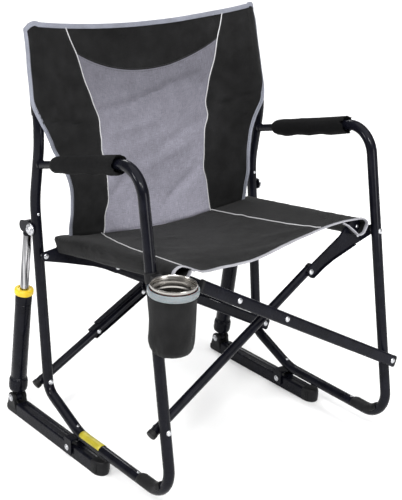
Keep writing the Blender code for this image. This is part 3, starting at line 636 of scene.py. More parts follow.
def shoe(side):
    """Plastic shoe under the bend at the foot of the front leg, and the frame's small screws."""
    x = SIDES[side] * HALF_WIDTH
    path = [Vector((x, y, z)) for y, z in FRAME_RUN if z < 0.075 and y < -0.2]
    path.append(path[-1] + Vector((0, 0.035, 0.0003)))
    path = even_run(path, 0.008)

    def section(i):
        outer = SHOE_R * (0.88 if i in (0, len(path) - 1) else 1.0)
        return arc(0, 0, outer, -5, -175, 16) + arc(0, 0, TUBE_R + 0.0003, -175, -5, 16)

    shape = new_shape()
    sweep(shape, path, section, side=ACROSS)
    piece(f"{side}_shoe", shape, BLACK_PLASTIC, f"{side}_frame", f"{side}_front_foot",
          bevel=0.0006)
    shape = new_shape()
    for y, z, sunk, radius, height, axis in (
            (-0.197, 0.0512, 0.0004, 0.0032, 0.0018, (0, 0, 1)),
            (-0.215, 0.0512, 0.0004, 0.0032, 0.0018, (0, 0, 1)),
            (0.024, 0.0588, 0.0006, 0.0034, 0.0018, (0, -0.38, 0.92)),
            (0.1835, 0.4926, 0.0004, 0.0032, 0.0016, (0, -1, 0.12))):
        lathe(shape, dome(TUBE_R - sunk, radius, height), (x, y, z), axis, 16)
    piece(f"{side}_small_screws", shape, ZINC, f"{side}_frame")


def label():
    """A plain sticker on the runner of the sitter's right side, wrapped over the tube."""
    runner = [(y, z) for y, z in sorted(FRAME_RUN) if z < 0.1 and -0.2 < y < 0.1]
    shape = new_shape()
    rows = []
    for i in range(11):
        y = mix(-0.072, 0.001, i / 10)
        z = table(runner, y, 1)
        rows.append([shape.verts.new(Vector((a - HALF_WIDTH, y, z + b)))
                     for a, b in arc(0, 0, TUBE_R + 0.0004, 165, 15, 10)])
    for first, second in zip(rows, rows[1:]):
        strip_faces(shape, first, second, closed=False)
    thing = piece("runner_label", shape, LABEL, "right_frame")
    thicken(thing, 0.0002, -1.0)


# --------------------------------------------------------------------- rockers

# Heights of the nose cap, and the share of its full outline at each.
NOSE_LEVELS = ((0.0, 0.88), (0.003, 0.97), (0.012, 1.0), (0.022, 1.0), (0.028, 0.95),
               (0.0305, 0.84), (0.031, 0.6), (0.031, 0.25))

def yoke_bolt(side):
    """The bolt of the CAD yoke, with a washer and a dome at both ends."""
    base = (SIDES[side] * HALF_WIDTH, *ROCKER_PIVOT)
    reach = ROCKER_HALF + 0.0045
    shape = new_shape()
    lathe(shape, [(-reach - 0.0005, 0.004), (reach + 0.0005, 0.004)], base, ACROSS, 20)
    for way in (-1, 1):
        lathe(shape, [(reach * way, 0.0068), ((reach + 0.0008) * way, 0.0068),
                      ((reach + 0.0012) * way, 0.0052)]
              + dome((reach + 0.0012) * way, 0.0050, 0.0024 * way)[1:], base, ACROSS, 24)
    piece(f"{side}_rocker_bolt", shape, ZINC, f"{side}_frame", f"{side}_rocker_pin")


def rocker_bar(side):
    """Pressed channel with rounded shoulders, a shallow groove and two rivets on top."""
    x = SIDES[side] * HALF_WIDTH
    half, high, wall, bend = ROCKER_HALF, ROCKER_H, 0.002, 0.004
    groove = [(-0.0065, high), (-0.005, high - 0.0009), (0.005, high - 0.0009), (0.0065, high)]
    outer = ([(-half, 0.0)] + arc(bend - half, high - bend, bend, 180, 90, 5) + groove
             + arc(half - bend, high - bend, bend, 90, 0, 5) + [(half, 0.0)])
    inner = [(half - wall, 0.0), (half - wall, high - bend), (half - bend, high - wall),
             (-half + bend, high - wall), (-half + wall, high - bend), (-half + wall, 0.0)]
    shape = new_shape()
    plate(shape, [(x + a, b) for a, b in outer + inner], seen_from_front,
          ROCKER_FRONT_Y, ROCKER_REAR_Y)
    for y in (0.062, 0.236):
        lathe(shape, dome(high - 0.0012, 0.0042, 0.0021), (x, y, 0), (0, 0, 1), 20)
    piece(f"{side}_rocker_channel", shape, BLACK_STEEL, f"{side}_rocker", f"{side}_rocker_bar",
          bevel=0.0005)


def rocker_nose(side):
    """Thick round-ended foot: rounded in plan and in profile, with grip ribs at its sides."""
    x = SIDES[side] * HALF_WIDTH
    outline = [(a, -0.0305 * math.sin(math.pi * i / 24) ** 0.75)
               for i, (a, _) in enumerate(arc(0, 0, 0.0185, 0, 180, 24))]
    shape = new_shape()
    rings = [[shape.verts.new(Vector((x + a * share, ROCKER_FRONT_Y + b * (0.35 + 0.65 * share),
                                      height))) for a, b in outline]
             for height, share in NOSE_LEVELS]
    join_rings(shape, rings)
    shape.faces.new(rings[0])
    shape.faces.new(rings[-1])
    for y in (-0.060, -0.066, -0.072):
        for way in (-1, 1):
            rib = ((0.0168, 0.004), (0.0175, 0.012), (0.0170, 0.024))
            sweep(shape, [Vector((x + way * out, y, z)) for out, z in rib],
                  circle(RIB_R, 8))
    piece(f"{side}_nose_cap", shape, BLACK_PLASTIC, f"{side}_rocker", f"{side}_rocker_nose")


def rocker_heel(side):
    """Forked bracket: rounded ears on a block, and a bolt with washers through them."""
    x = SIDES[side] * HALF_WIDTH
    start, end = ROCKER_REAR_Y, ROCKER_REAR_Y + 0.041
    shape = new_shape()
    block = [(start + 0.0004, 0.0), (end - 0.004, 0.0), (end, 0.004), (end, 0.014),
             (start + 0.0004, 0.014)]
    plate(shape, block, seen_from_side, x - 0.0165, x + 0.0165)
    ear = [(end - 0.001, 0.010)] + arc(*SPRING_LOW, 0.0125, -15, 195, 14)
    ear.append((start + 0.001, 0.010))
    for near, far in ((-0.0165, -0.0088), (0.0088, 0.0165)):
        plate(shape, ear, seen_from_side, x + near, x + far)
    piece(f"{side}_heel_fork", shape, BLACK_PLASTIC, f"{side}_rocker", f"{side}_rocker_heel",
          bevel=0.0012, bevel_steps=3)
    shape, base, reach = new_shape(), (x, *SPRING_LOW), 0.0168
    lathe(shape, [(-reach, 0.0048), (reach, 0.0048)], base, ACROSS, 20)
    head = ((0, 0.0082), (0.0008, 0.0082), (0.0008, 0.0058), (0.0024, 0.0058), (0.0031, 0.0046),
            (0.0031, 0))
    for way in (-1, 1):
        sides = 24 if way == SIDES[side] else 6
        lathe(shape, [(way * (reach + out), r) for out, r in head], base, ACROSS, sides)
    piece(f"{side}_heel_bolt", shape, ZINC, f"{side}_rocker", f"{side}_heel_pin")


# ----------------------------------------------------------------- gas springs

def spring(side):
    """Gas spring: rod with its eye, cylinder with its eye and fluted foot, and collar."""
    low, high = Vector(SPRING_LOW), Vector(SPRING_HIGH)
    axis, length = Vector((0, *(high - low).normalized())), (high - low).length
    base = (SIDES[side] * HALF_WIDTH, *SPRING_LOW)

    shape = new_shape()
    lathe(shape, [(ROD_START, 0), (ROD_START, ROD_R - 0.001), (ROD_START + 0.001, ROD_R),
                  (length - 0.024, ROD_R), (length - 0.022, ROD_R - 0.001)], base, axis, 36)
    piece(f"{side}_polished_rod", shape, ROD, f"{side}_rod", f"{side}_spring_rod")

    shape = new_shape()
    lathe(shape, [(length - 0.0225, ROD_R - 0.0005), (length - 0.0222, 0.0099),
                  (length - 0.017, 0.0099), (length - 0.015, 0.0088), (length - 0.0075, 0.0088)],
          base, axis, 28)
    lathe(shape, [(-0.007, 0.0054), (-0.007, 0.0098), (-0.0062, 0.0105), (0.0062, 0.0105),
                  (0.007, 0.0098), (0.007, 0.0054)], (base[0], *SPRING_HIGH), ACROSS, 32)
    piece(f"{side}_upper_eye", shape, BLACK_STEEL, f"{side}_rod")

    shape, top = new_shape(), SPRING_MOUTH
    lathe(shape, [(0.009, 0), (0.009, 0.0072), (0.015, 0.0075), (0.0175, 0.0140),
                  (0.0195, 0.0176), (0.022, 0.0196), (0.026, 0.0205), (0.0465, 0.0205),
                  (0.0495, 0.0197), (0.0510, 0.0183), (0.0530, 0.0183),
                  (0.0540, SPRING_R - 0.0006), (0.0550, SPRING_R), (top - 0.0220, SPRING_R),
                  (top - 0.0212, SPRING_R - 0.0007), (top - 0.0190, SPRING_R - 0.0007),
                  (top - 0.0182, SPRING_R + 0.0004), (top - 0.0015, SPRING_R + 0.0004),
                  (top, SPRING_R - 0.0004), (top, ROD_R + 0.0006),
                  (SPRING_BORE_END, ROD_R + 0.0006), (SPRING_BORE_END, 0)], base, axis, 44)
    lathe(shape, [(-0.007, 0.0068), (-0.007, 0.0095), (-0.006, 0.0105), (0.006, 0.0105),
                  (0.007, 0.0095), (0.007, 0.0068)], base, ACROSS, 32)
    lathe(shape, [(-0.0075, 0), (-0.0075, 0.0060), (0.0075, 0.0060), (0.0075, 0)], base,
          ACROSS, 20)
    out = axis.orthogonal().normalized()
    across = axis.cross(out)
    for a, b in circle(0.0199, 18):
        start = Vector(base) + out * a + across * b
        sweep(shape, [start + axis * t for t in (0.0275, 0.036, 0.0455)], circle(RIB_R, 8))
    piece(f"{side}_cylinder", shape, BLACK_STEEL, f"{side}_spring", f"{side}_spring_body")

    shape = new_shape()
    ring = ((0.0003, ROD_R + 0.0008), (0.0003, 0.0186), (0.0015, 0.0202), (0.0030, 0.0211),
            (0.0110, 0.0211), (0.0125, 0.0204), (0.0142, 0.0180), (0.0142, 0.0140),
            (0.0125, 0.0128), (0.0125, ROD_R + 0.0008))
    lathe(shape, [(SPRING_MOUTH + rise, radius) for rise, radius in ring], base, axis, 44)
    piece(f"{side}_collar", shape, YELLOW, f"{side}_spring", f"{side}_spring_collar")


def bracket_bolt(side):
    """Domed bolt on a wide washer, on the outside of the post."""
    sign = SIDES[side]
    profile = ((0, 0), (0, 0.0122), (0.0008, 0.0128), (0.0026, 0.0126), (0.0042, 0.0114),
               (0.0048, 0.0098), (0.0044, 0.0084), (0.0052, 0.0076), (0.0076, 0.0068),
               (0.0088, 0.0046), (0.0090, 0.0026), (0.0080, 0.0022), (0.0078, 0))
    shape = new_shape()
    lathe(shape, [(TUBE_R + 0.0036 + rise, radius) for rise, radius in profile],
          (sign * HALF_WIDTH, *POST_BOLT), (sign, 0, 0), 36)
    piece(f"{side}_post_bolt", shape, ZINC, f"{side}_frame", f"{side}_bracket_bolt")


# --------------------------------------------------------------------- linkage


def rivet_head(shape, start, swell, u, v):
    lathe(shape, dome(start, 0.0058, swell), tilted(u, v, 0), PIN_AXIS, 24)


def rivet(name, body):
    """A rivet in the place of a CAD pin, with a domed head at both ends."""
    low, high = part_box(f"{name}_pin")
    centre = (low + high) / 2 - SHIFT
    u, v = centre.x, centre.y * math.sin(TILT) + centre.z * math.cos(TILT)
    depths = [(vert.co - SHIFT).dot(PIN_AXIS)
              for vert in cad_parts[f"{name}_pin"].data.vertices]
    start, end = min(depths) + 0.0028, max(depths) - 0.0028
    shape = new_shape()
    lathe(shape, [(start, 0.003), (end, 0.003)], tilted(u, v, 0), PIN_AXIS, 16)
    rivet_head(shape, start + 0.0004, -RIVET_SWELL, u, v)
    rivet_head(shape, end - 0.0004, RIVET_SWELL, u, v)
    piece(f"{name}_rivet", shape, ZINC, body, f"{name}_pin")


def rivets():
    for side in SIDES:
        for end in ENDS:
            for level, body in (("low", "frame"), ("high", "frame"), ("knee", "links")):
                rivet(f"{end}_{side}_{level}", f"{side}_{body}")
    for end in ENDS:
        rivet(f"{end}_cross", f"{end}_flat_bar")
    shape = new_shape()
    rivet_head(shape, FRONT_FLAT_N[0] + 0.0004, -RIVET_SWELL, -KNEE_U, KNEE_V)
    piece("front_bar_knee_rivet", shape, ZINC, "front_flat_bar")


def flat_bar(end, depth, beyond):
    """Flattened tube with rolled edges and black end caps, run on past its knee."""
    start, stop = Vector((HALF_WIDTH, LOW_PIN_V)), Vector((-KNEE_U, KNEE_V))
    along = (stop - start).normalized()
    n = sum(depth) / 2
    first, last = start - along * 0.0095, stop + along * (0.0095 + beyond)
    thick = depth[1] - depth[0]
    shape = new_shape()
    sweep(shape, [tilted(*mix(first, last, t), n) for t in (0, 0.1, 0.5, 0.9, 1)],
          rounded_rect(thick, 2 * BAR_HALF, 0.0052), side=PIN_AXIS)
    piece(f"{end}_flat_tube", shape, BLACK_STEEL, f"{end}_flat_bar", f"{end}_flat_bar",
          bevel=0.0004)
    shape = new_shape()
    cap = rounded_rect(thick + 0.0006, 2 * BAR_HALF + 0.0008, 0.0056)
    shares = (1.0, 1.0, 0.72)
    for here, way in ((first, -1), (last, 1)):
        path = [tilted(*(here + along * way * out), n) for out in (-0.0035, 0.0014, 0.0026)]
        sweep(shape, path, lambda i: [(a * shares[i], b * shares[i]) for a, b in cap],
              side=PIN_AXIS)
    piece(f"{end}_flat_caps", shape, BLACK_PLASTIC, f"{end}_flat_bar")


def round_bar_n(depth, u):
    return mix(depth[0], depth[1], (u + HALF_WIDTH) / (KNEE_U + HALF_WIDTH))


def round_bar(end, depth):
    start = tilted(-HALF_WIDTH, LOW_PIN_V, depth[0])
    stop = tilted(KNEE_U, KNEE_V, depth[1])
    along, length = (stop - start).normalized(), (stop - start).length
    r = ROUND_BAR_R
    shape = new_shape()
    lathe(shape, [(-0.0195, 0), (-0.0195, r - 0.0012), (-0.018, r), (length + 0.010, r),
                  (length + 0.0115, r - 0.0012), (length + 0.0115, 0)], start, along, 32)
    piece(f"{end}_round_tube", shape, BLACK_STEEL, f"{end}_round_bar", f"{end}_round_bar")
    shape = new_shape()
    for base, axis in ((start - along * 0.012, -along), (stop + along * 0.006, along)):
        lathe(shape, [(0, 0), (0, r + 0.0004), (0.0004, r + 0.0009), (0.0078, r + 0.0009),
                      (0.0092, r + 0.0002), (0.0098, r - 0.0022), (0.0098, 0)], base, axis, 32)
    piece(f"{end}_round_caps", shape, BLACK_PLASTIC, f"{end}_round_bar")


def rear_channels():
    """The stiffener on the rear round bar: two channels, one nested in the other, riveted."""
    start = Vector((-HALF_WIDTH, LOW_PIN_V))
    along = (Vector((KNEE_U, KNEE_V)) - start).normalized()
    across = Vector((-along.y, along.x))

    def at(place):
        centre = start + along * place
        return centre, round_bar_n(REAR_ROUND_N, centre.x)

    shape = new_shape()
    for outer, first, last, reach in ((0.0118, 0.150, 0.315, -0.008),
                                      (0.0142, 0.172, 0.330, -0.005)):
        inner, bend = outer - 0.0018, 0.003
        shoulder = [(-outer, reach)]
        shoulder += [(-outer + bend - bend * math.cos(a), outer - bend + bend * math.sin(a))
                     for a in (0, 0.4, 0.8, 1.2, math.pi / 2)]
        section = shoulder + [(-a, b) for a, b in reversed(shoulder)]
        section += [(inner, reach), (inner, inner), (-inner, inner), (-inner, reach)]
        ends = []
        for centre, n in (at(first), at(last)):
            ends.append([tilted(*(centre + across * a), n + b) for a, b in section])
        prism(shape, ends)
    piece("rear_stiffener", shape, BLACK_STEEL, "rear_round_bar", "rear_bar_channel",
          bevel=0.0004)
    shape = new_shape()
    for place in (0.162, 0.300):
        centre, n = at(place)
        lathe(shape, dome(-ROUND_BAR_R + 0.0004, 0.0052, -0.0022), tilted(*centre, n),
              PIN_AXIS, 22)
    piece("rear_stiffener_rivets", shape, ZINC, "rear_round_bar")


def link_outline(side, inset=0.0):
    """Outline of a link in the tilted plane, from round its knee to its high pin and back."""
    knee, top = Vector((KNEE_U, KNEE_V)), Vector((HALF_WIDTH, HIGH_PIN_V))
    rail = Vector((RAIL_U, RAIL_V))
    bar = (knee - Vector((-HALF_WIDTH, LOW_PIN_V))).normalized()
    up = Vector((-bar.y, bar.x))
    half = LINK_HALF - inset
    outline = [knee + bar * (a - 0.001) + up * b for a, b in
               ((math.cos(angle) * (half - 0.005), math.sin(angle) * half)
                for angle in (math.radians(degrees) for degrees in range(270, 89, -20)))]
    outline += [knee + bar * 0.050 + up * half, knee + bar * 0.102 + up * half]
    outline += [rail + Vector((a, b - inset))
                for a, b in ((-0.012, 0.004), (0.012, 0.003), (0.024, -0.012))]
    outline += [top + Vector(p) for p in arc(0, 0, 0.0105 - inset, 80, -70, 6)]
    outline += [rail + Vector((0.002, inset - 0.050)), knee + bar * 0.060 - up * (half + 0.003),
                knee + bar * 0.030 - up * half]
    return [(SIDES[side] * point.x, point.y) for point in outline]


def link(end, side, depth):
    """Pressed link: a web with a turned-up rim along both long edges, and the rail's rivets."""
    outer, inner = link_outline(side), link_outline(side, 0.0016)
    way, face = (-1, depth[0]) if end == "front" else (1, depth[1])
    shape = new_shape()
    plate(shape, outer, tilted, *depth)
    for run in (range(2, 14), (*range(len(outer) - 3, len(outer)), *range(3))):
        prism(shape, [[tilted(*outer[i], n) for i in run]
                      + [tilted(*inner[i], n) for i in reversed(run)]
                      for n in sorted((face, face + way * LINK_RIM))])
    piece(f"{end}_{side}_link_plate", shape, BLACK_STEEL, f"{side}_links", f"{end}_{side}_link",
          bevel=0.0004)
    shape = new_shape()
    for u, v in ((RAIL_U + 0.010, RAIL_V - 0.012), (RAIL_U + 0.012, RAIL_V - 0.031)):
        lathe(shape, dome(face - way * 0.0004, 0.0046, 0.0022 * way),
              tilted(SIDES[side] * u, v, 0), PIN_AXIS, 22)
    piece(f"{end}_{side}_link_rivets", shape, ZINC, f"{side}_links")


# ------------------------------------------------------------------ cup holder

def leg_y(z):
    foot, top = FRAME_CORNERS[2], FRAME_CORNERS[1]
    return mix(foot[0], top[0], (z - foot[1]) / (top[1] - foot[1]))


CUP = Vector((-HALF_WIDTH, leg_y(CUP_Z) - CUP_REACH, CUP_Z))


def cup_hoop():
    """Plastic hoop, and the hook that clasps the front leg."""
    ring = ((-0.0128, -0.0060), (-0.0128, -0.0014), (-0.0118, -0.0004), (-0.0090, 0.0002),
            (-0.0080, 0.0010), (-0.0012, 0.0010), (-0.0002, 0.0002), (0.0006, -0.0012),
            (0.0002, -0.0024), (-0.0030, -0.0032), (-0.010, -0.0040))
    shape = new_shape()
    rings = upright_rings(shape, [(h, CUP_R + out) for h, out in ring], CUP, 64)
    join_rings(shape, rings, closed=True)
    piece("cup_hoop", shape, GREY_PLASTIC, "right_frame", "cup_ring")
    shape = new_shape()
    hook = [(CUP.x - 0.0105, CUP_Z - 0.0112), (CUP.x + 0.0105, CUP_Z - 0.0112),
            (CUP.x + 0.0105, CUP_Z + 0.007), (CUP.x - 0.0105, CUP_Z + 0.007)]
    plate(shape, hook, seen_from_front, CUP.y + CUP_R - 0.002, leg_y(CUP_Z) - TUBE_R - 0.0006)
    clasp = (arc(0, 0, TUBE_R + 0.0024, -200, 20, 11)
             + arc(0, 0, TUBE_R + 0.0003, 20, -200, 11))
    leg = [Vector((CUP.x, leg_y(z), z)) for z in (CUP_Z - 0.0115, CUP_Z + 0.0075)]
    sweep(shape, leg, clasp, side=ACROSS)
    piece("cup_hook", shape, BLACK_PLASTIC, "right_frame", bevel=0.001)


def cup_liner():
    """Thin metal cup with a rolled lip, set in the hoop."""
    liner = ((-0.0060, 0.0042), (0.0040, 0.0034), (0.0066, 0.0030), (0.0080, 0.0036),
             (0.0082, 0.0046), (0.0070, 0.0054), (0.0050, 0.0060), (-0.0030, 0.0072),
             (-0.0038, 0.0086), (-0.0042, 0.0104), (-0.0056, 0.0108), (-0.0110, 0.0110),
             (-0.0120, 0.0122), (-0.0128, 0.0138), (-0.088, 0.0160), (-0.0900, 0.0190),
             (-0.0900, CUP_R))
    shape = new_shape()
    lathe_sheet(shape, [(h, CUP_R - inset) for h, inset in liner], CUP, 64)
    thicken(piece("cup_liner", shape, LINER, "right_frame"), 0.0006, -1.0)


def cup_bag():
    """Soft bag under the hoop. It is round at the top and its foot sags in loose folds."""
    steps = ((-0.0095, 0.0412), (-0.0135, 0.0432), (-0.024, 0.0440), (-0.042, 0.0437),
             (-0.060, 0.0434), (-0.078, 0.0430), (-0.094, 0.0424), (-0.106, 0.0415),
             (-0.1160, 0.0396), (-0.1235, 0.0350), (-0.1285, 0.0270), (-0.1310, 0.0150),
             (-0.1318, 0.0))
    shape = new_shape(cloth=True)
    cloth = shape.verts.layers.float_vector["cloth"]
    sides, rows = 72, []
    for h, radius in ((mix(a[0], b[0], i / 4), mix(a[1], b[1], i / 4))
                      for a, b in zip(steps, steps[1:]) for i in range(4)):
        row = []
        low = smooth(-0.04, -0.13, h)
        for j in range(sides):
            a = 2 * math.pi * j / sides
            drape = noise.noise(Vector((math.cos(a) * 2.1, math.sin(a) * 2.1, h * 14 + 3.0)))
            pleat = noise.noise(Vector((math.cos(a) * 5, math.sin(a) * 5, h * 40)))
            fold = math.sin(a * 3 + 0.7 + h * 18) * 0.5
            out = (radius + low * (0.0040 * drape + 0.0020 * fold + 0.0020 * pleat)
                   + (1 - low) * 0.0014 * drape)
            vert = shape.verts.new(CUP + Vector((out * math.cos(a), out * math.sin(a),
                                                 h + 0.0030 * low * drape)))
            vert[cloth] = (a * CUP_R, h, 0)
            row.append(vert)
        rows.append(row)
    join_rings(shape, rows)
    fan_faces(shape, rows[-1], shape.verts.new(CUP + Vector((0, 0, steps[-1][0]))))
    bag = piece("cup_bag", shape, BLACK_CLOTH, "right_frame", "cup_sleeve")
    thicken(bag, 0.0012, -1.0)


# ----------------------------------------------------------------------- cloth

# Each cloth piece is given a mesh of its own, and is not shaped for the chair's closing.
STITCH_PITCH, STITCH_LONG, THREAD_R = 0.0042, 0.0027, 0.00035
PIPING_R = 0.0011


def folds_with_chair(thing):
    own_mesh(thing)


def resample(points, count):
    """The path cut into count pieces of equal length."""
    lengths = [0.0]
    for a, b in zip(points, points[1:]):
        lengths.append(lengths[-1] + (b - a).length)
    found, at = [], 0
    for i in range(count + 1):
        want = lengths[-1] * i / count
        while at < len(points) - 2 and lengths[at + 1] < want:
            at += 1
        share = (want - lengths[at]) / max(lengths[at + 1] - lengths[at], 1e-9)
        found.append(points[at].lerp(points[at + 1], min(1.0, max(0.0, share))))
    return found


def lay_sheet(shape, rows, index_of=lambda j, i: 0):
    """Rows of points, all with the same count, joined into one sheet with flat coordinates."""
    cloth = shape.verts.layers.float_vector["cloth"]
    grid, down = [], 0.0
    for j, row in enumerate(rows):
        if j:
            down += sum((a - b).length for a, b in zip(row, rows[j - 1])) / len(row)
        middle = len(row) // 2
        across = [0.0]
        for a, b in zip(row, row[1:]):
            across.append(across[-1] + (b - a).length)
        line = []
        for point, run in zip(row, across):
            vert = shape.verts.new(point)
            vert[cloth] = (run - across[middle], down, 0)
            line.append(vert)
        grid.append(line)
    for j, (first, second) in enumerate(zip(grid, grid[1:])):
        for i in range(len(first) - 1):
            face = shape.faces.new((first[i], first[i + 1], second[i + 1], second[i]))
            face.material_index = index_of(j, i)


def tape(shape, path, inward, width, thick):
    """A folded binding along an edge: path is the edge, inward points into the cloth."""
    half = thick / 2
    upper = [(-0.0010, half * 0.6), (0.0006, half), (width * 0.5, half * 1.05),
             (width - 0.0004, half * 0.95), (width, half * 0.5)]
    lower = [(a, -b) for a, b in reversed(upper)]
    sweep(shape, path, [(-0.0014, 0)] + upper + lower, side=inward)


def stitches(shape, path, up):
    """Short threads lying on the cloth along a path; up points out of the cloth."""
    gap, marks = 0.0, []
    for a, b in zip(path, path[1:]):
        span = (b - a).length
        along = (b - a).normalized()
        while gap < span:
            marks.append((a + along * gap, along))
            gap += STITCH_PITCH
        gap -= span
    for place, along in marks:
        lift = (up - along * up.dot(along)).normalized()
        start, end = place - along * STITCH_LONG / 2, place + along * STITCH_LONG / 2
        rise = lift * THREAD_R
        sweep(shape, [start - rise, start + rise, end + rise, end - rise], circle(THREAD_R, 5),
              side=along.cross(lift))


# The back by height: height, half width, y of the edge, and how far the middle sags behind it.
BACK = ((0.424, 0.240, 0.1400, 0.013), (0.453, 0.240, 0.1390, 0.020),
        (0.500, 0.241, 0.1330, 0.034), (0.550, 0.243, 0.1350, 0.036),
        (0.600, 0.257, 0.1440, 0.029), (0.640, 0.276, 0.1505, 0.031),
        (0.680, 0.294, 0.1540, 0.037), (0.740, 0.297, 0.1665, 0.036),
        (0.800, 0.294, 0.1803, 0.032), (0.884, 0.290, 0.1993, 0.030))
# The upright seams between the grey panel and the black sides: height and x.
BACK_SEAM = ((0.430, 0.150), (0.455, 0.147), (0.506, 0.135), (0.555, 0.133), (0.600, 0.138),
             (0.630, 0.140), (0.650, 0.146), (0.690, 0.148), (0.730, 0.159), (0.767, 0.173),
             (0.815, 0.186), (0.845, 0.198), (0.884, 0.211))
SEAM_READ_Z = 0.815           # height at which a seam's x is read to find its rows
# The curved seam over the panel: its lowest height, its rise to the sides and its shape.
ARC_LOW, ARC_RISE, ARC_POWER = 0.763, 0.052, 2.1
# The top edge: its height at the sides, and how far it dips in the middle.
BACK_HIGH, BACK_BOW = 0.8872, 0.0255
# The post pocket: where it starts, where it is full, and the foot of its rear layer.
POCKET_LOW, POCKET_FULL, SLEEVE_FOOT = 0.676, 0.738, 0.698
# The rounded top corners: their radius, and the share of the rows at which they start.
CORNER_R, CORNER_SHARE = 0.020, 0.86
PANEL_SHARE = 0.76            # share of the rows that lie below the curved seam
LOWER_ROWS, UPPER_ROWS = 40, 10
SIDE_CELLS, PANEL_CELLS = 16, 24
BACK_SEAM_CELLS = (SIDE_CELLS, SIDE_CELLS + PANEL_CELLS)


def post_y(z):
    shoulder, top = FRAME_CORNERS[6], FRAME_CORNERS[7]
    return mix(shoulder[0], top[0], (z - shoulder[1]) / (top[1] - shoulder[1]))


def crease(x, z, ax, az, bx, bz, width, depth):
    """Height of a soft fold that runs from a to b and fades at both ends."""
    dx, dz = bx - ax, bz - az
    length = math.hypot(dx, dz)
    t = ((x - ax) * dx + (z - az) * dz) / length ** 2
    off = ((x - ax) * dz - (z - az) * dx) / length
    fade = smooth(-0.25, 0.2, t) * (1 - smooth(0.8, 1.25, t))
    return depth * fade * math.exp(-(off / width) ** 2)


# Creases: both ends, the width and the depth. Those of the back count CREASE_GAIN times.
CREASE_GAIN = 1.5
BACK_CREASES = (
    (-0.27, 0.712, -0.16, 0.690, 0.006, 0.0034), (-0.25, 0.668, -0.15, 0.650, 0.006, -0.0034),
    (-0.24, 0.625, -0.15, 0.630, 0.006, 0.0028), (0.28, 0.690, 0.17, 0.668, 0.006, 0.0036),
    (0.27, 0.648, 0.17, 0.652, 0.006, -0.0030), (-0.13, 0.690, -0.02, 0.700, 0.006, 0.0040),
    (-0.03, 0.702, 0.12, 0.735, 0.008, 0.0046), (-0.12, 0.640, 0.02, 0.655, 0.009, -0.0028),
    (0.02, 0.600, 0.13, 0.640, 0.009, 0.0030), (-0.13, 0.500, -0.06, 0.560, 0.005, 0.0034),
    (-0.12, 0.540, -0.09, 0.470, 0.005, -0.0026), (0.03, 0.470, 0.12, 0.540, 0.007, 0.0030),
    (0.23, 0.560, 0.16, 0.500, 0.006, 0.0032), (-0.23, 0.520, -0.16, 0.470, 0.006, 0.0034),
    (-0.24, 0.800, -0.19, 0.760, 0.006, 0.0024), (0.24, 0.780, 0.19, 0.740, 0.006, 0.0026),
    (-0.22, 0.590, -0.17, 0.540, 0.007, -0.0026), (-0.02, 0.560, 0.08, 0.590, 0.008, -0.0024),
    (0.20, 0.620, 0.24, 0.600, 0.006, 0.0028), (0.09, 0.760, 0.14, 0.720, 0.006, 0.0026))


def back_ripple(x, z):
    ripple = CREASE_GAIN * sum(crease(x, z, *fold) for fold in BACK_CREASES)
    ripple += 0.0030 * noise.noise(Vector((x * 9, z * 9, 1.7)))
    ripple += 0.0018 * noise.noise(Vector((x * 26, z * 30, 4.1)))
    return ripple


def back_point(x, z):
    half, edge, sag = (table(BACK, z, k) for k in (1, 2, 3))
    share = min(1.0, abs(x) / half)
    ripple = back_ripple(x, z) * (1 - smooth(0.9, 1.0, share))
    return Vector((x, edge + sag * (1 - share ** 2) + ripple, z))


def seat_height(x):
    """Where the seat cloth passes under the foot of the back."""
    share = min(1.0, abs(x) / BACK[1][1])
    y = BACK[1][2] + BACK[0][3] * (1 - share ** 2)
    n = y / math.cos(TILT) - SEAT_TOP * math.tan(TILT)
    return tilted(x, seat_v(math.copysign(min(abs(x), SEAT_FLAT), x), n), n).z


def seam_x(z, sign):
    """Distance of an upright seam from the middle plane; low down it wanders a little."""
    wiggle = 0.0090 * noise.noise(Vector((z * 26, 2.0 + sign, 0.5))) * smooth(0.76, 0.66, z)
    return table(BACK_SEAM, z, 1) + wiggle


def back_height(t, q, x):
    """Height of the row at share t of the cloth; q is the share of the way to the seam."""
    seam = ARC_LOW + ARC_RISE * min(1.0, abs(q)) ** ARC_POWER
    top = BACK_HIGH - BACK_BOW * (1 - min(1.0, abs(x) / BACK[-1][1]) ** 2)
    if t <= PANEL_SHARE:
        return mix(seat_height(x) - 0.0015, seam, t / PANEL_SHARE)
    return mix(seam, top, (t - PANEL_SHARE) / (1 - PANEL_SHARE))


def round_post(z, gap, degrees):
    """Points round the post at height z, off its tube by gap; 0 degrees is outward."""
    centre = Vector((post_x(1, z), post_y(z), z))
    return [centre + (TUBE_R + gap) * Vector((math.cos(a), math.sin(a), 0))
            for a in map(math.radians, degrees)]


def on_side(point, sign):
    """The point mirrored to the side of the middle plane that sign tells."""
    return Vector((sign * point.x, point.y, point.z))


def seam_level(t, sign):
    """Height at which the row at share t of the back meets its upright seam."""
    return back_height(t, 1.0, seam_x(SEAM_READ_Z, sign))


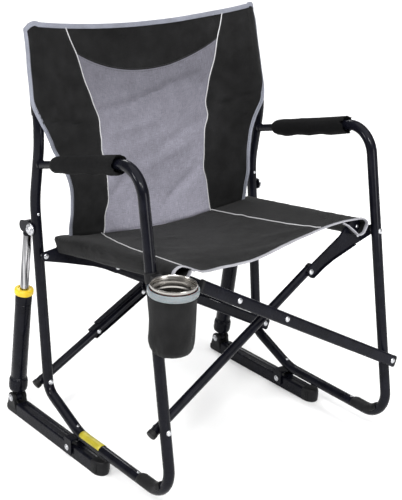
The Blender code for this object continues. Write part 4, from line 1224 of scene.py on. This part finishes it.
def back_side(t, sign):
    """Path from the seam to the outer edge, round the front of the post where it is sleeved."""
    level = seam_level(t, sign)
    start, half = seam_x(level, sign), table(BACK, level, 1)
    edge_z = back_height(t, 1.0, half)
    sleeved = smooth(POCKET_LOW, POCKET_FULL, edge_z)
    last = mix(half, post_x(1, edge_z) - 0.011, sleeved)
    path = []
    for i in range(15):
        x = mix(start, last, i / 14)
        path.append(on_side(back_point(x, back_height(t, 1.0, x)), sign))
    if sleeved > 0.01:
        flat = Vector((half, table(BACK, edge_z, 2), edge_z))
        wrapped = round_post(edge_z, 0.0013, (-118, -95, -72, -50))
        frill = 0.0012 * noise.noise(Vector((edge_z * 22, sign, 0)))
        wrapped.append(Vector((post_x(1, edge_z) + 0.0150 + frill, post_y(edge_z) - 0.0025,
                               edge_z)))
        path += [on_side(flat.lerp(point, sleeved), sign) for point in wrapped]
    else:
        for point in path:
            flutter = smooth(0.6, 1.0, (abs(point.x) - start) / (last - start))
            point.y += 0.0040 * flutter * noise.noise(Vector((point.z * 26, sign * 3, 9)))
            point.x += sign * 0.0055 * flutter * noise.noise(Vector((point.z * 20, sign * 3, 5)))
    return round_corner(path, t, abs(path[-1].x))


def round_corner(path, t, half):
    """Rows near the top turn down toward the outer edge."""
    share = smooth(CORNER_SHARE, 1.0, t)
    for point in path:
        out = min(1.0, max(0.0, (abs(point.x) - half + CORNER_R) / CORNER_R))
        point.z -= share * 0.75 * CORNER_R * (1 - math.sqrt(1 - out * out))
    return path


def pocket_back(z, sign, tip):
    """Path of the sleeve's rear layer: from the outer edge round the post to the inner seam."""
    x = post_x(1, z)
    inner = back_point(x - 0.026, z)
    path = [Vector((abs(tip.x), tip.y + 0.0006, z)),
            *round_post(z, 0.0016, (28, 60, 92, 124, 150)),
            Vector((x - 0.018, max(inner.y, post_y(z) - 0.004) + 0.0014, z)),
            inner + Vector((0, 0.0016, 0))]
    return [on_side(point, sign) for point in path]


def back_cloth():
    """The back in one sheet, its grey panel and black parts told apart by material."""
    rows, edges = [], {1: [], -1: []}
    lower = [mix(0.0, PANEL_SHARE, i / LOWER_ROWS) for i in range(LOWER_ROWS + 1)]
    upper = [mix(PANEL_SHARE, 1.0, i / UPPER_ROWS) for i in range(1, UPPER_ROWS + 1)]
    for t in lower + upper:
        row = {sign: resample(back_side(t, sign), SIDE_CELLS) for sign in (1, -1)}
        centre = []
        for i in range(1, PANEL_CELLS):
            q = -1 + 2 * i / PANEL_CELLS
            sign = 1 if q > 0 else -1
            x = q * seam_x(seam_level(t, sign), sign)
            centre.append(back_point(x, back_height(t, q, x)))
        rows.append(row[-1][::-1] + centre + row[1])
        for sign in (1, -1):
            edges[sign].append((row[sign][-1], row[sign][-2]))

    def panel(j, i):
        return int(SIDE_CELLS <= i < SIDE_CELLS + PANEL_CELLS and j < LOWER_ROWS)

    shape = new_shape(cloth=True)
    lay_sheet(shape, rows, panel)
    skin = piece("back_cloth", shape, [BLACK_CLOTH, GREY_CLOTH], "left_frame", "back_fabric",
                 recalc=False)
    thicken(skin)
    trims = [back_sleeve(side, edges[sign]) for side, sign in SIDES.items()]
    trims += [back_binding(rows, edges), back_piping(rows), back_stitching(rows, edges)]
    return skin, trims


def back_sleeve(side, edge):
    """Rear layer of the pocket that a post stands in."""
    shape = new_shape(cloth=True)
    lay_sheet(shape, [resample(pocket_back(tip.z, SIDES[side], tip), 12) for tip, _ in edge
                      if tip.z > SLEEVE_FOOT])
    thing = piece(f"{side}_post_sleeve", shape, BLACK_CLOTH, f"{side}_frame",
                  recalc=False)
    thicken(thing, 0.0009)
    return thing


def towards(point, target):
    return (target - point).normalized()


def back_binding(rows, edges):
    shape = new_shape(cloth=True)
    for run in edges.values():
        tape(shape, [tip for tip, _ in run], [towards(tip, inner) for tip, inner in run],
             0.0075, 0.0030)
    tape(shape, [point + Vector((0, 0, 0.0008)) for point in rows[-1]],
         [towards(point, below) for point, below in zip(rows[-1], rows[-2])], 0.0088, 0.0034)
    return piece("back_binding", shape, GREY_TAPE, "left_frame")


def cord_along(shape, path):
    sweep(shape, path, circle(PIPING_R, 8), side=ACROSS)


def back_piping(rows):
    """Light cord in the two upright seams."""
    shape = new_shape(cloth=True)
    for i in BACK_SEAM_CELLS:
        cord_along(shape, [row[i] + Vector((0, -0.0013, 0)) for row in rows[:-1]])
    return piece("back_piping", shape, PIPING, "left_frame")


def back_stitching(rows, edges):
    shape = new_shape(cloth=True)
    seam = rows[LOWER_ROWS][BACK_SEAM_CELLS[0]:BACK_SEAM_CELLS[1] + 1]
    runs = [[point + Vector((0, -0.0008, drop)) for point in seam] for drop in (0.0032, -0.0034)]
    runs += [[row[i] + Vector((out, -0.0008, 0)) for row in rows[:-1]]
             for i, out in zip(BACK_SEAM_CELLS, (-0.0036, 0.0036))]
    runs += [[tip + towards(tip, inner) * 0.0058 + Vector((0, -0.0017, 0)) for tip, inner in run]
             for run in edges.values()]
    runs.append([point + Vector((0, -0.0021, -0.0064)) for point in rows[-1][1:-1]])
    for path in runs:
        stitches(shape, path, Vector((0, -1, 0)))
    return piece("back_stitching", shape, THREAD, "left_frame")


# The seat ends at depth SEAT_END, and sags between the places SEAT_FLAT off the middle.
SEAT_END, SEAT_SAG, SEAT_FLAT = 0.0860, 0.021, 0.236
SEAT_ROWS, SLEEVE_CELLS, SEAT_CELLS = 46, 30, 28
RAIL_EDGE_U, HEM_U = 0.241, 0.212      # where a sleeve starts, and where its hem lies
SLEEVE_END_N = 0.079                   # the sleeves end here, a little before the seat
# The seams by depth n for each side, the front edge by u, and its droop there.
SEAT_SEAM = {1: ((-0.300, 0.192), (-0.27, 0.176), (-0.25, 0.162), (-0.14, 0.149),
                 (0.086, 0.149)),
             -1: ((-0.330, 0.227), (-0.25, 0.231), (-0.196, 0.229), (-0.09, 0.210),
                  (0.01, 0.178), (0.086, 0.152))}
SEAT_FRONT = ((-0.275, -0.322), (-0.245, -0.328), (-0.228, -0.325), (-0.180, -0.306),
              (-0.125, -0.296), (-0.047, -0.296), (0.0, -0.288), (0.056, -0.278),
              (0.119, -0.268), (0.177, -0.269), (0.217, -0.284), (0.245, -0.300), (0.275, -0.300))
SEAT_DROOP = ((-0.245, 0.001), (-0.228, 0.006), (-0.200, 0.014), (-0.180, 0.019),
              (-0.125, 0.018), (-0.047, 0.013), (0.0, 0.010), (0.056, 0.006), (0.119, 0.004),
              (0.177, 0.002), (0.217, 0.0))
SEAT_TOP = RAIL_V + RAIL_R + 0.0008
SEAT_CREASES = (
    (-0.20, -0.24, 0.10, -0.27, 0.012, 0.0020), (-0.18, 0.02, -0.05, -0.06, 0.012, 0.0018),
    (0.19, 0.00, 0.08, -0.08, 0.012, 0.0020), (0.05, -0.20, 0.17, -0.24, 0.010, 0.0020),
    (-0.21, -0.10, -0.12, -0.16, 0.010, 0.0016))


def seat_v(u, n):
    """Height of the seat cloth above the tilted plane's base at (u, n)."""
    dip = SEAT_SAG * max(0.0, 1 - (u / SEAT_FLAT) ** 2)
    dip += table(SEAT_DROOP, u, 1) * smooth(-0.20, -0.31, n)
    inside = 1 - smooth(0.19, SEAT_FLAT, abs(u))
    ripple = sum(crease(u, n, *fold) for fold in SEAT_CREASES)
    ripple += 0.0026 * noise.noise(Vector((u * 9, n * 9, 11.7)))
    ripple += 0.0009 * noise.noise(Vector((u * 34, n * 30, 14.1)))
    return SEAT_TOP - dip + ripple * inside


# Section (u, v) of a rail sleeve, over the rail and round to the hem: at the front and rear.
LOOP = ((0.2460, 0.4620), (0.2555, 0.4600), (0.2625, 0.4550), (0.2655, 0.4480),
        (0.2645, 0.4390), (0.2590, 0.4305), (0.2500, 0.4262), (0.2410, 0.4275),
        (0.2335, 0.4350), (0.2280, 0.4430), (0.2215, 0.4500), (0.2140, 0.4530))
LOOP_REAR = ((0.2470, 0.4630), (0.2575, 0.4634), (0.2660, 0.4630), (0.2690, 0.4590),
             (0.2686, 0.4480), (0.2672, 0.4370), (0.2640, 0.4290), (0.2560, 0.4255),
             (0.2440, 0.4280), (0.2340, 0.4360), (0.2240, 0.4460), (0.2140, 0.4520))


def seat_n(t, u):
    """Depth of the row at share t of the seat, 0 at the front edge and 1 at the back."""
    return mix(table(SEAT_FRONT, u, 1), SEAT_END, t)


def seat_point(t, u):
    n = seat_n(t, u)
    return tilted(u, seat_v(u, n), n)


def seat_seam(t, sign):
    """Distance of a seat seam from the middle, found in a few steps as depth hangs on it."""
    u = 0.2
    for _ in range(6):
        u = table(SEAT_SEAM[sign], seat_n(t, sign * u), 1)
    return min(u, 0.238)


def seat_side(t, sign):
    """Path from the seam over the rail and round the sleeve to its hem."""
    start = seat_seam(t, sign)
    path = [seat_point(t, sign * mix(start, RAIL_EDGE_U, i / 10)) for i in range(11)]
    for front, rear in zip(LOOP, LOOP_REAR):
        u, v = mix(front[0], rear[0], t), mix(front[1], rear[1], t)
        if v > 0.44:
            n = seat_n(t, sign * u)
        else:
            n = mix(seat_n(t, sign * 0.25) + 0.004, SLEEVE_END_N, t)
        n = min(n, mix(n, SLEEVE_END_N, smooth(0.458, 0.450, v)))
        swing = 0.0022 * noise.noise(Vector((n * 16, sign * 4, v * 20)))
        swing *= 1 - smooth(0.440, 0.455, v)
        path.append(tilted(sign * (u + swing), v + swing * 0.6, n))
    n = seat_n(t, sign * HEM_U)
    path[-1] = tilted(sign * HEM_U, seat_v(sign * HEM_U, n) - 0.0026, n)
    return path


def seat_cloth():
    """The seat in one sheet with both rail sleeves, its binding, piping and stitching."""
    rows = []
    for j in range(SEAT_ROWS + 1):
        t = j / SEAT_ROWS
        sides = {sign: resample(seat_side(t, sign), SLEEVE_CELLS) for sign in (1, -1)}
        first, last = -seat_seam(t, -1), seat_seam(t, 1)
        centre = [seat_point(t, mix(first, last, i / SEAT_CELLS)) for i in range(1, SEAT_CELLS)]
        rows.append(sides[-1][::-1] + centre + sides[1])
    shape = new_shape(cloth=True)
    lay_sheet(shape, rows)
    skin = piece("seat_cloth", shape, BLACK_CLOTH, "left_frame", "seat_fabric",
                 recalc=False)
    thicken(skin)

    shape = new_shape(cloth=True)
    front, behind = rows[0], rows[1]
    inward = [towards(a, b) for a, b in zip(front, behind)]
    tape(shape, [point - PIN_AXIS * 0.0008 for point in front], inward, 0.0070, 0.0030)
    binding = piece("seat_binding", shape, LIGHT_TAPE, "left_frame")

    seams = (SLEEVE_CELLS, SLEEVE_CELLS + SEAT_CELLS)
    shape = new_shape(cloth=True)
    for i in seams:
        cord_along(shape, [row[i] + UP_AXIS * 0.0013 for row in rows[1:]])
    piping = piece("seat_piping", shape, PIPING, "left_frame")

    shape = new_shape(cloth=True)
    for i, out in zip(seams, (-0.0038, 0.0038)):
        stitches(shape, [row[i] + UP_AXIS * 0.0009 + ACROSS * out for row in rows[1:]], UP_AXIS)
    hem = [a + way * 0.0050 + UP_AXIS * 0.0018 for a, way in zip(front, inward)]
    stitches(shape, hem[9:-9], UP_AXIS)
    stitching = piece("seat_stitching", shape, THREAD, "left_frame")
    return skin, [binding, piping, stitching]


# -------------------------------------------------------------------- arm pads

PAD_ENDS, PAD_R = (0.110, -0.123), 0.0202
PAD_VOXEL, PAD_PRESSURE, PAD_SWELL, SWELL_FRAMES = 0.004, 4.0, 0.0022, 20
# Shares of the pad's length from its rear end, and of its full radius.
PAD_PROFILE = ((0, 0.70), (0.012, 0.80), (0.03, 0.87), (0.06, 0.93), (0.12, 0.97), (0.2, 0.98),
               (0.4, 0.97), (0.6, 0.98), (0.8, 1.0), (0.9, 1.03), (0.96, 1.05), (0.99, 1.04),
               (1, 1.00))


def arm_z(y):
    rear, front = FRAME_CORNERS[0], FRAME_CORNERS[1]
    return rear[1] + (front[1] - rear[1]) / (front[0] - rear[0]) * (y - rear[0])


def swell(thing):
    """Puff a closed mesh up with the cloth solver, and hold every point within PAD_SWELL."""
    scene = bpy.context.scene
    mesh = thing.data
    remesh = thing.modifiers.new("even", "REMESH")
    remesh.mode = "VOXEL"
    remesh.voxel_size = PAD_VOXEL
    graph = bpy.context.evaluated_depsgraph_get()
    even = bpy.data.meshes.new_from_object(thing.evaluated_get(graph))
    thing.modifiers.remove(remesh)
    thing.data = even
    bpy.data.meshes.remove(mesh)
    before = [v.co.copy() for v in even.vertices]
    cloth = thing.modifiers.new("cloth", "CLOTH")
    cloth.settings.use_pressure = True
    cloth.settings.uniform_pressure_force = PAD_PRESSURE
    cloth.settings.quality = 4
    cloth.settings.effector_weights.gravity = 0.0
    cloth.point_cache.frame_start, cloth.point_cache.frame_end = 1, SWELL_FRAMES
    for step in range(1, SWELL_FRAMES + 1):
        scene.frame_set(step)
    graph = bpy.context.evaluated_depsgraph_get()
    puffed = [v.co.copy() for v in thing.evaluated_get(graph).data.vertices]
    thing.modifiers.remove(cloth)
    for vert, old, new in zip(even.vertices, before, puffed):
        move = new - old
        if move.length > PAD_SWELL:
            move *= PAD_SWELL / move.length
        vert.co = old + move
    scene.frame_set(1)
    even.shade_smooth()


def arm_pad(side):
    """Foam sleeve on the arm: a hollow turned shape, swelled and wrinkled, with a welt."""
    x = SIDES[side] * HALF_WIDTH
    shape = new_shape()
    outer, inner = [], []
    for share, size in PAD_PROFILE:
        y = mix(*PAD_ENDS, share)
        point = Vector((x, y, arm_z(y)))
        outer.append((point, PAD_R * size - 0.0012))
        bore = TUBE_R + 0.0004 + 0.0062 * smooth(0.86, 1.0, share)
        inner.append((point, min(bore, PAD_R * size - 0.0016)))
    up = (outer[-1][0] - outer[0][0]).normalized().cross(ACROSS)
    rings = [[shape.verts.new(p + ACROSS * c * r + up * s * r) for c, s in circle(1.0, 30)]
             for p, r in outer + inner[::-1]]
    join_rings(shape, rings, closed=True)
    pad = piece(f"{side}_pad", shape, PAD_CLOTH, f"{side}_frame", f"{side}_arm_pad")
    swell(pad)
    wrinkle_pad(pad, x)
    rounder = pad.modifiers.new("rounder", "SUBSURF")
    rounder.levels = rounder.render_levels = 1
    pad_welt(side, pad)


def pad_welt(side, pad):
    """Sewn seam along the top of a pad, laid on the pad's own surface."""
    faces = bmesh.new()
    faces.from_mesh(pad.data)
    skin = BVHTree.FromBMesh(faces)
    faces.free()
    angle = math.radians(-78 if side == "right" else -102)
    out = Vector((math.cos(angle), 0, math.sin(angle)))
    seam = []
    for i in range(41):
        y = mix(PAD_ENDS[0] - 0.012, PAD_ENDS[1] + 0.004, i / 40)
        start = Vector((SIDES[side] * HALF_WIDTH, y, arm_z(y))) + SHIFT
        hit = skin.ray_cast(start + out * 0.04, -out)[0]
        if hit:
            seam.append(hit - SHIFT + out * 0.0002)
    shape = new_shape(cloth=True)
    sweep(shape, seam, circle(0.0012, 8), side=ACROSS)
    piece(f"{side}_pad_seam", shape, BLACK_CLOTH, f"{side}_frame")


def wrinkle_pad(pad, x):
    """Shallow cross folds round a soft sleeve."""
    for vert in pad.data.vertices:
        p = vert.co - SHIFT
        out = Vector((p.x - x, 0, p.z - arm_z(p.y)))
        if out.length < TUBE_R + 0.003:
            continue
        out.normalize()
        push = 0.0007 * noise.noise(Vector((p.y * 38, out.x * 1.2, out.z * 1.2 + x)))
        push += 0.0012 * max(0.0, -out.z) * math.sin(p.y * 92 + x * 8)
        push += 0.0004 * noise.noise(Vector((p.y * 110, out.x * 2.5, out.z * 2.5 + x)))
        vert.co += out * push


# -------------------------------------------------------------- camera and light

FLOOR_REACH = 12

def camera():
    data = bpy.data.cameras.new("camera")
    data.lens, data.sensor_width, data.sensor_fit = 89.8, 36.0, "AUTO"
    data.shift_x, data.shift_y = 0.002, -0.0096
    right = Vector((0.7854, -0.6179, 0.0360)).normalized()
    back = -Vector((0.5912, 0.7316, -0.3394)).normalized()
    up = back.cross(right).normalized()
    right = up.cross(back)
    eye = into_scene("camera", data)
    eye.matrix_world = Matrix((right, up, back)).transposed().to_4x4()
    eye.location = Vector((-1.573, -1.945, 1.324)) + SHIFT
    bpy.context.scene.camera = eye


def area_light(name, place, target, size, power):
    data = bpy.data.lights.new(name, "AREA")
    data.shape, data.size, data.energy = "SQUARE", size, power
    lamp = into_scene(name, data)
    lamp.location = place
    lamp.rotation_euler = (Vector(target) - Vector(place)).to_track_quat("-Z", "Y").to_euler()


def sun_light(name, source, power, spread):
    """A sun that shines from the side where source points, as wide as spread in degrees."""
    data = bpy.data.lights.new(name, "SUN")
    data.energy, data.angle = power, math.radians(spread)
    lamp = into_scene(name, data)
    lamp.rotation_euler = Vector(source).to_track_quat("Z", "Y").to_euler()


def pale_floor():
    shape = bmesh.new()
    shape.faces.new([shape.verts.new((x * FLOOR_REACH, y * FLOOR_REACH, cad_low[2] - 0.0005))
                     for x, y in ((-1, -1), (1, -1), (1, 1), (-1, 1))])
    mesh = bpy.data.meshes.new("floor")
    shape.to_mesh(mesh)
    shape.free()
    pale = Look("pale_floor", Roughness=0.9, Specular_IOR_Level=0.1)
    pale.colour(pale.ramp(pale.noise(3.0, 3.0), (0.90, 0.90, 0.90), (0.93, 0.93, 0.93)))
    mesh.materials.append(pale.material)
    into_scene("floor", mesh)


def studio():
    pale_floor()
    world = bpy.data.worlds.new("studio")
    world.use_nodes = True
    background = world.node_tree.nodes["Background"]
    background.inputs["Color"].default_value = (1, 1, 1, 1)
    background.inputs["Strength"].default_value = 0.34
    bpy.context.scene.world = world
    bpy.context.scene.view_settings.view_transform = "Standard"
    sun_light("overhead", (-0.30, -0.50, 2.0), 2.7, 90)
    sun_light("glint", (-1.0, -0.9, 1.2), 1.1, 7)
    area_light("key", (-1.0, -2.2, 2.6), (0, 0, 0.4), 0.6, 26)
    area_light("low", (0.3, -3.0, 1.0), (0, 0, 0.55), 1.3, 34)
    area_light("side", (-2.4, 0.5, 1.5), (0, 0, 0.4), 0.5, 18)
    area_light("rim", (0.9, 2.2, 2.2), (0, 0, 0.5), 0.7, 18)


# ----------------------------------------------------------------------- build

def dress(nodes, material, bevel):
    """Give CAD nodes that keep their shape a finish and softened edges."""
    for name in nodes:
        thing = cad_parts[name]
        thing.data.materials.clear()
        thing.data.materials.append(material)
        soften_edges(thing, bevel, 2, 35)
        thing.data.shade_smooth()
        thing.data.set_sharp_from_angle(angle=SMOOTH_ANGLE)


def build():
    camera()
    studio()
    for side in SIDES:
        for make in (side_tube, shoe, yoke_bolt, rocker_bar, rocker_nose, rocker_heel, spring,
                     bracket_bolt):
            make(side)
        dress([f"{side}_yoke", f"{side}_spring_bracket", f"{side}_seat_rail"], BLACK_STEEL,
              0.0007)
        link("front", side, FRONT_LINK_N)
        link("rear", side, REAR_LINK_N)
    label()
    flat_bar("front", FRONT_FLAT_N, FRONT_BAR_BEYOND)
    flat_bar("rear", REAR_FLAT_N, 0.0)
    round_bar("front", FRONT_ROUND_N)
    round_bar("rear", REAR_ROUND_N)
    rear_channels()
    rivets()
    cup_hoop()
    cup_liner()
    cup_bag()
    back, back_trims = back_cloth()
    seat, seat_trims = seat_cloth()
    for side in SIDES:
        arm_pad(side)
    for thing in [seat] + seat_trims:
        folds_with_chair(thing)
    for thing in [back] + back_trims:
        if not thing.name.endswith("_post_sleeve"):
            folds_with_chair(thing)


build()
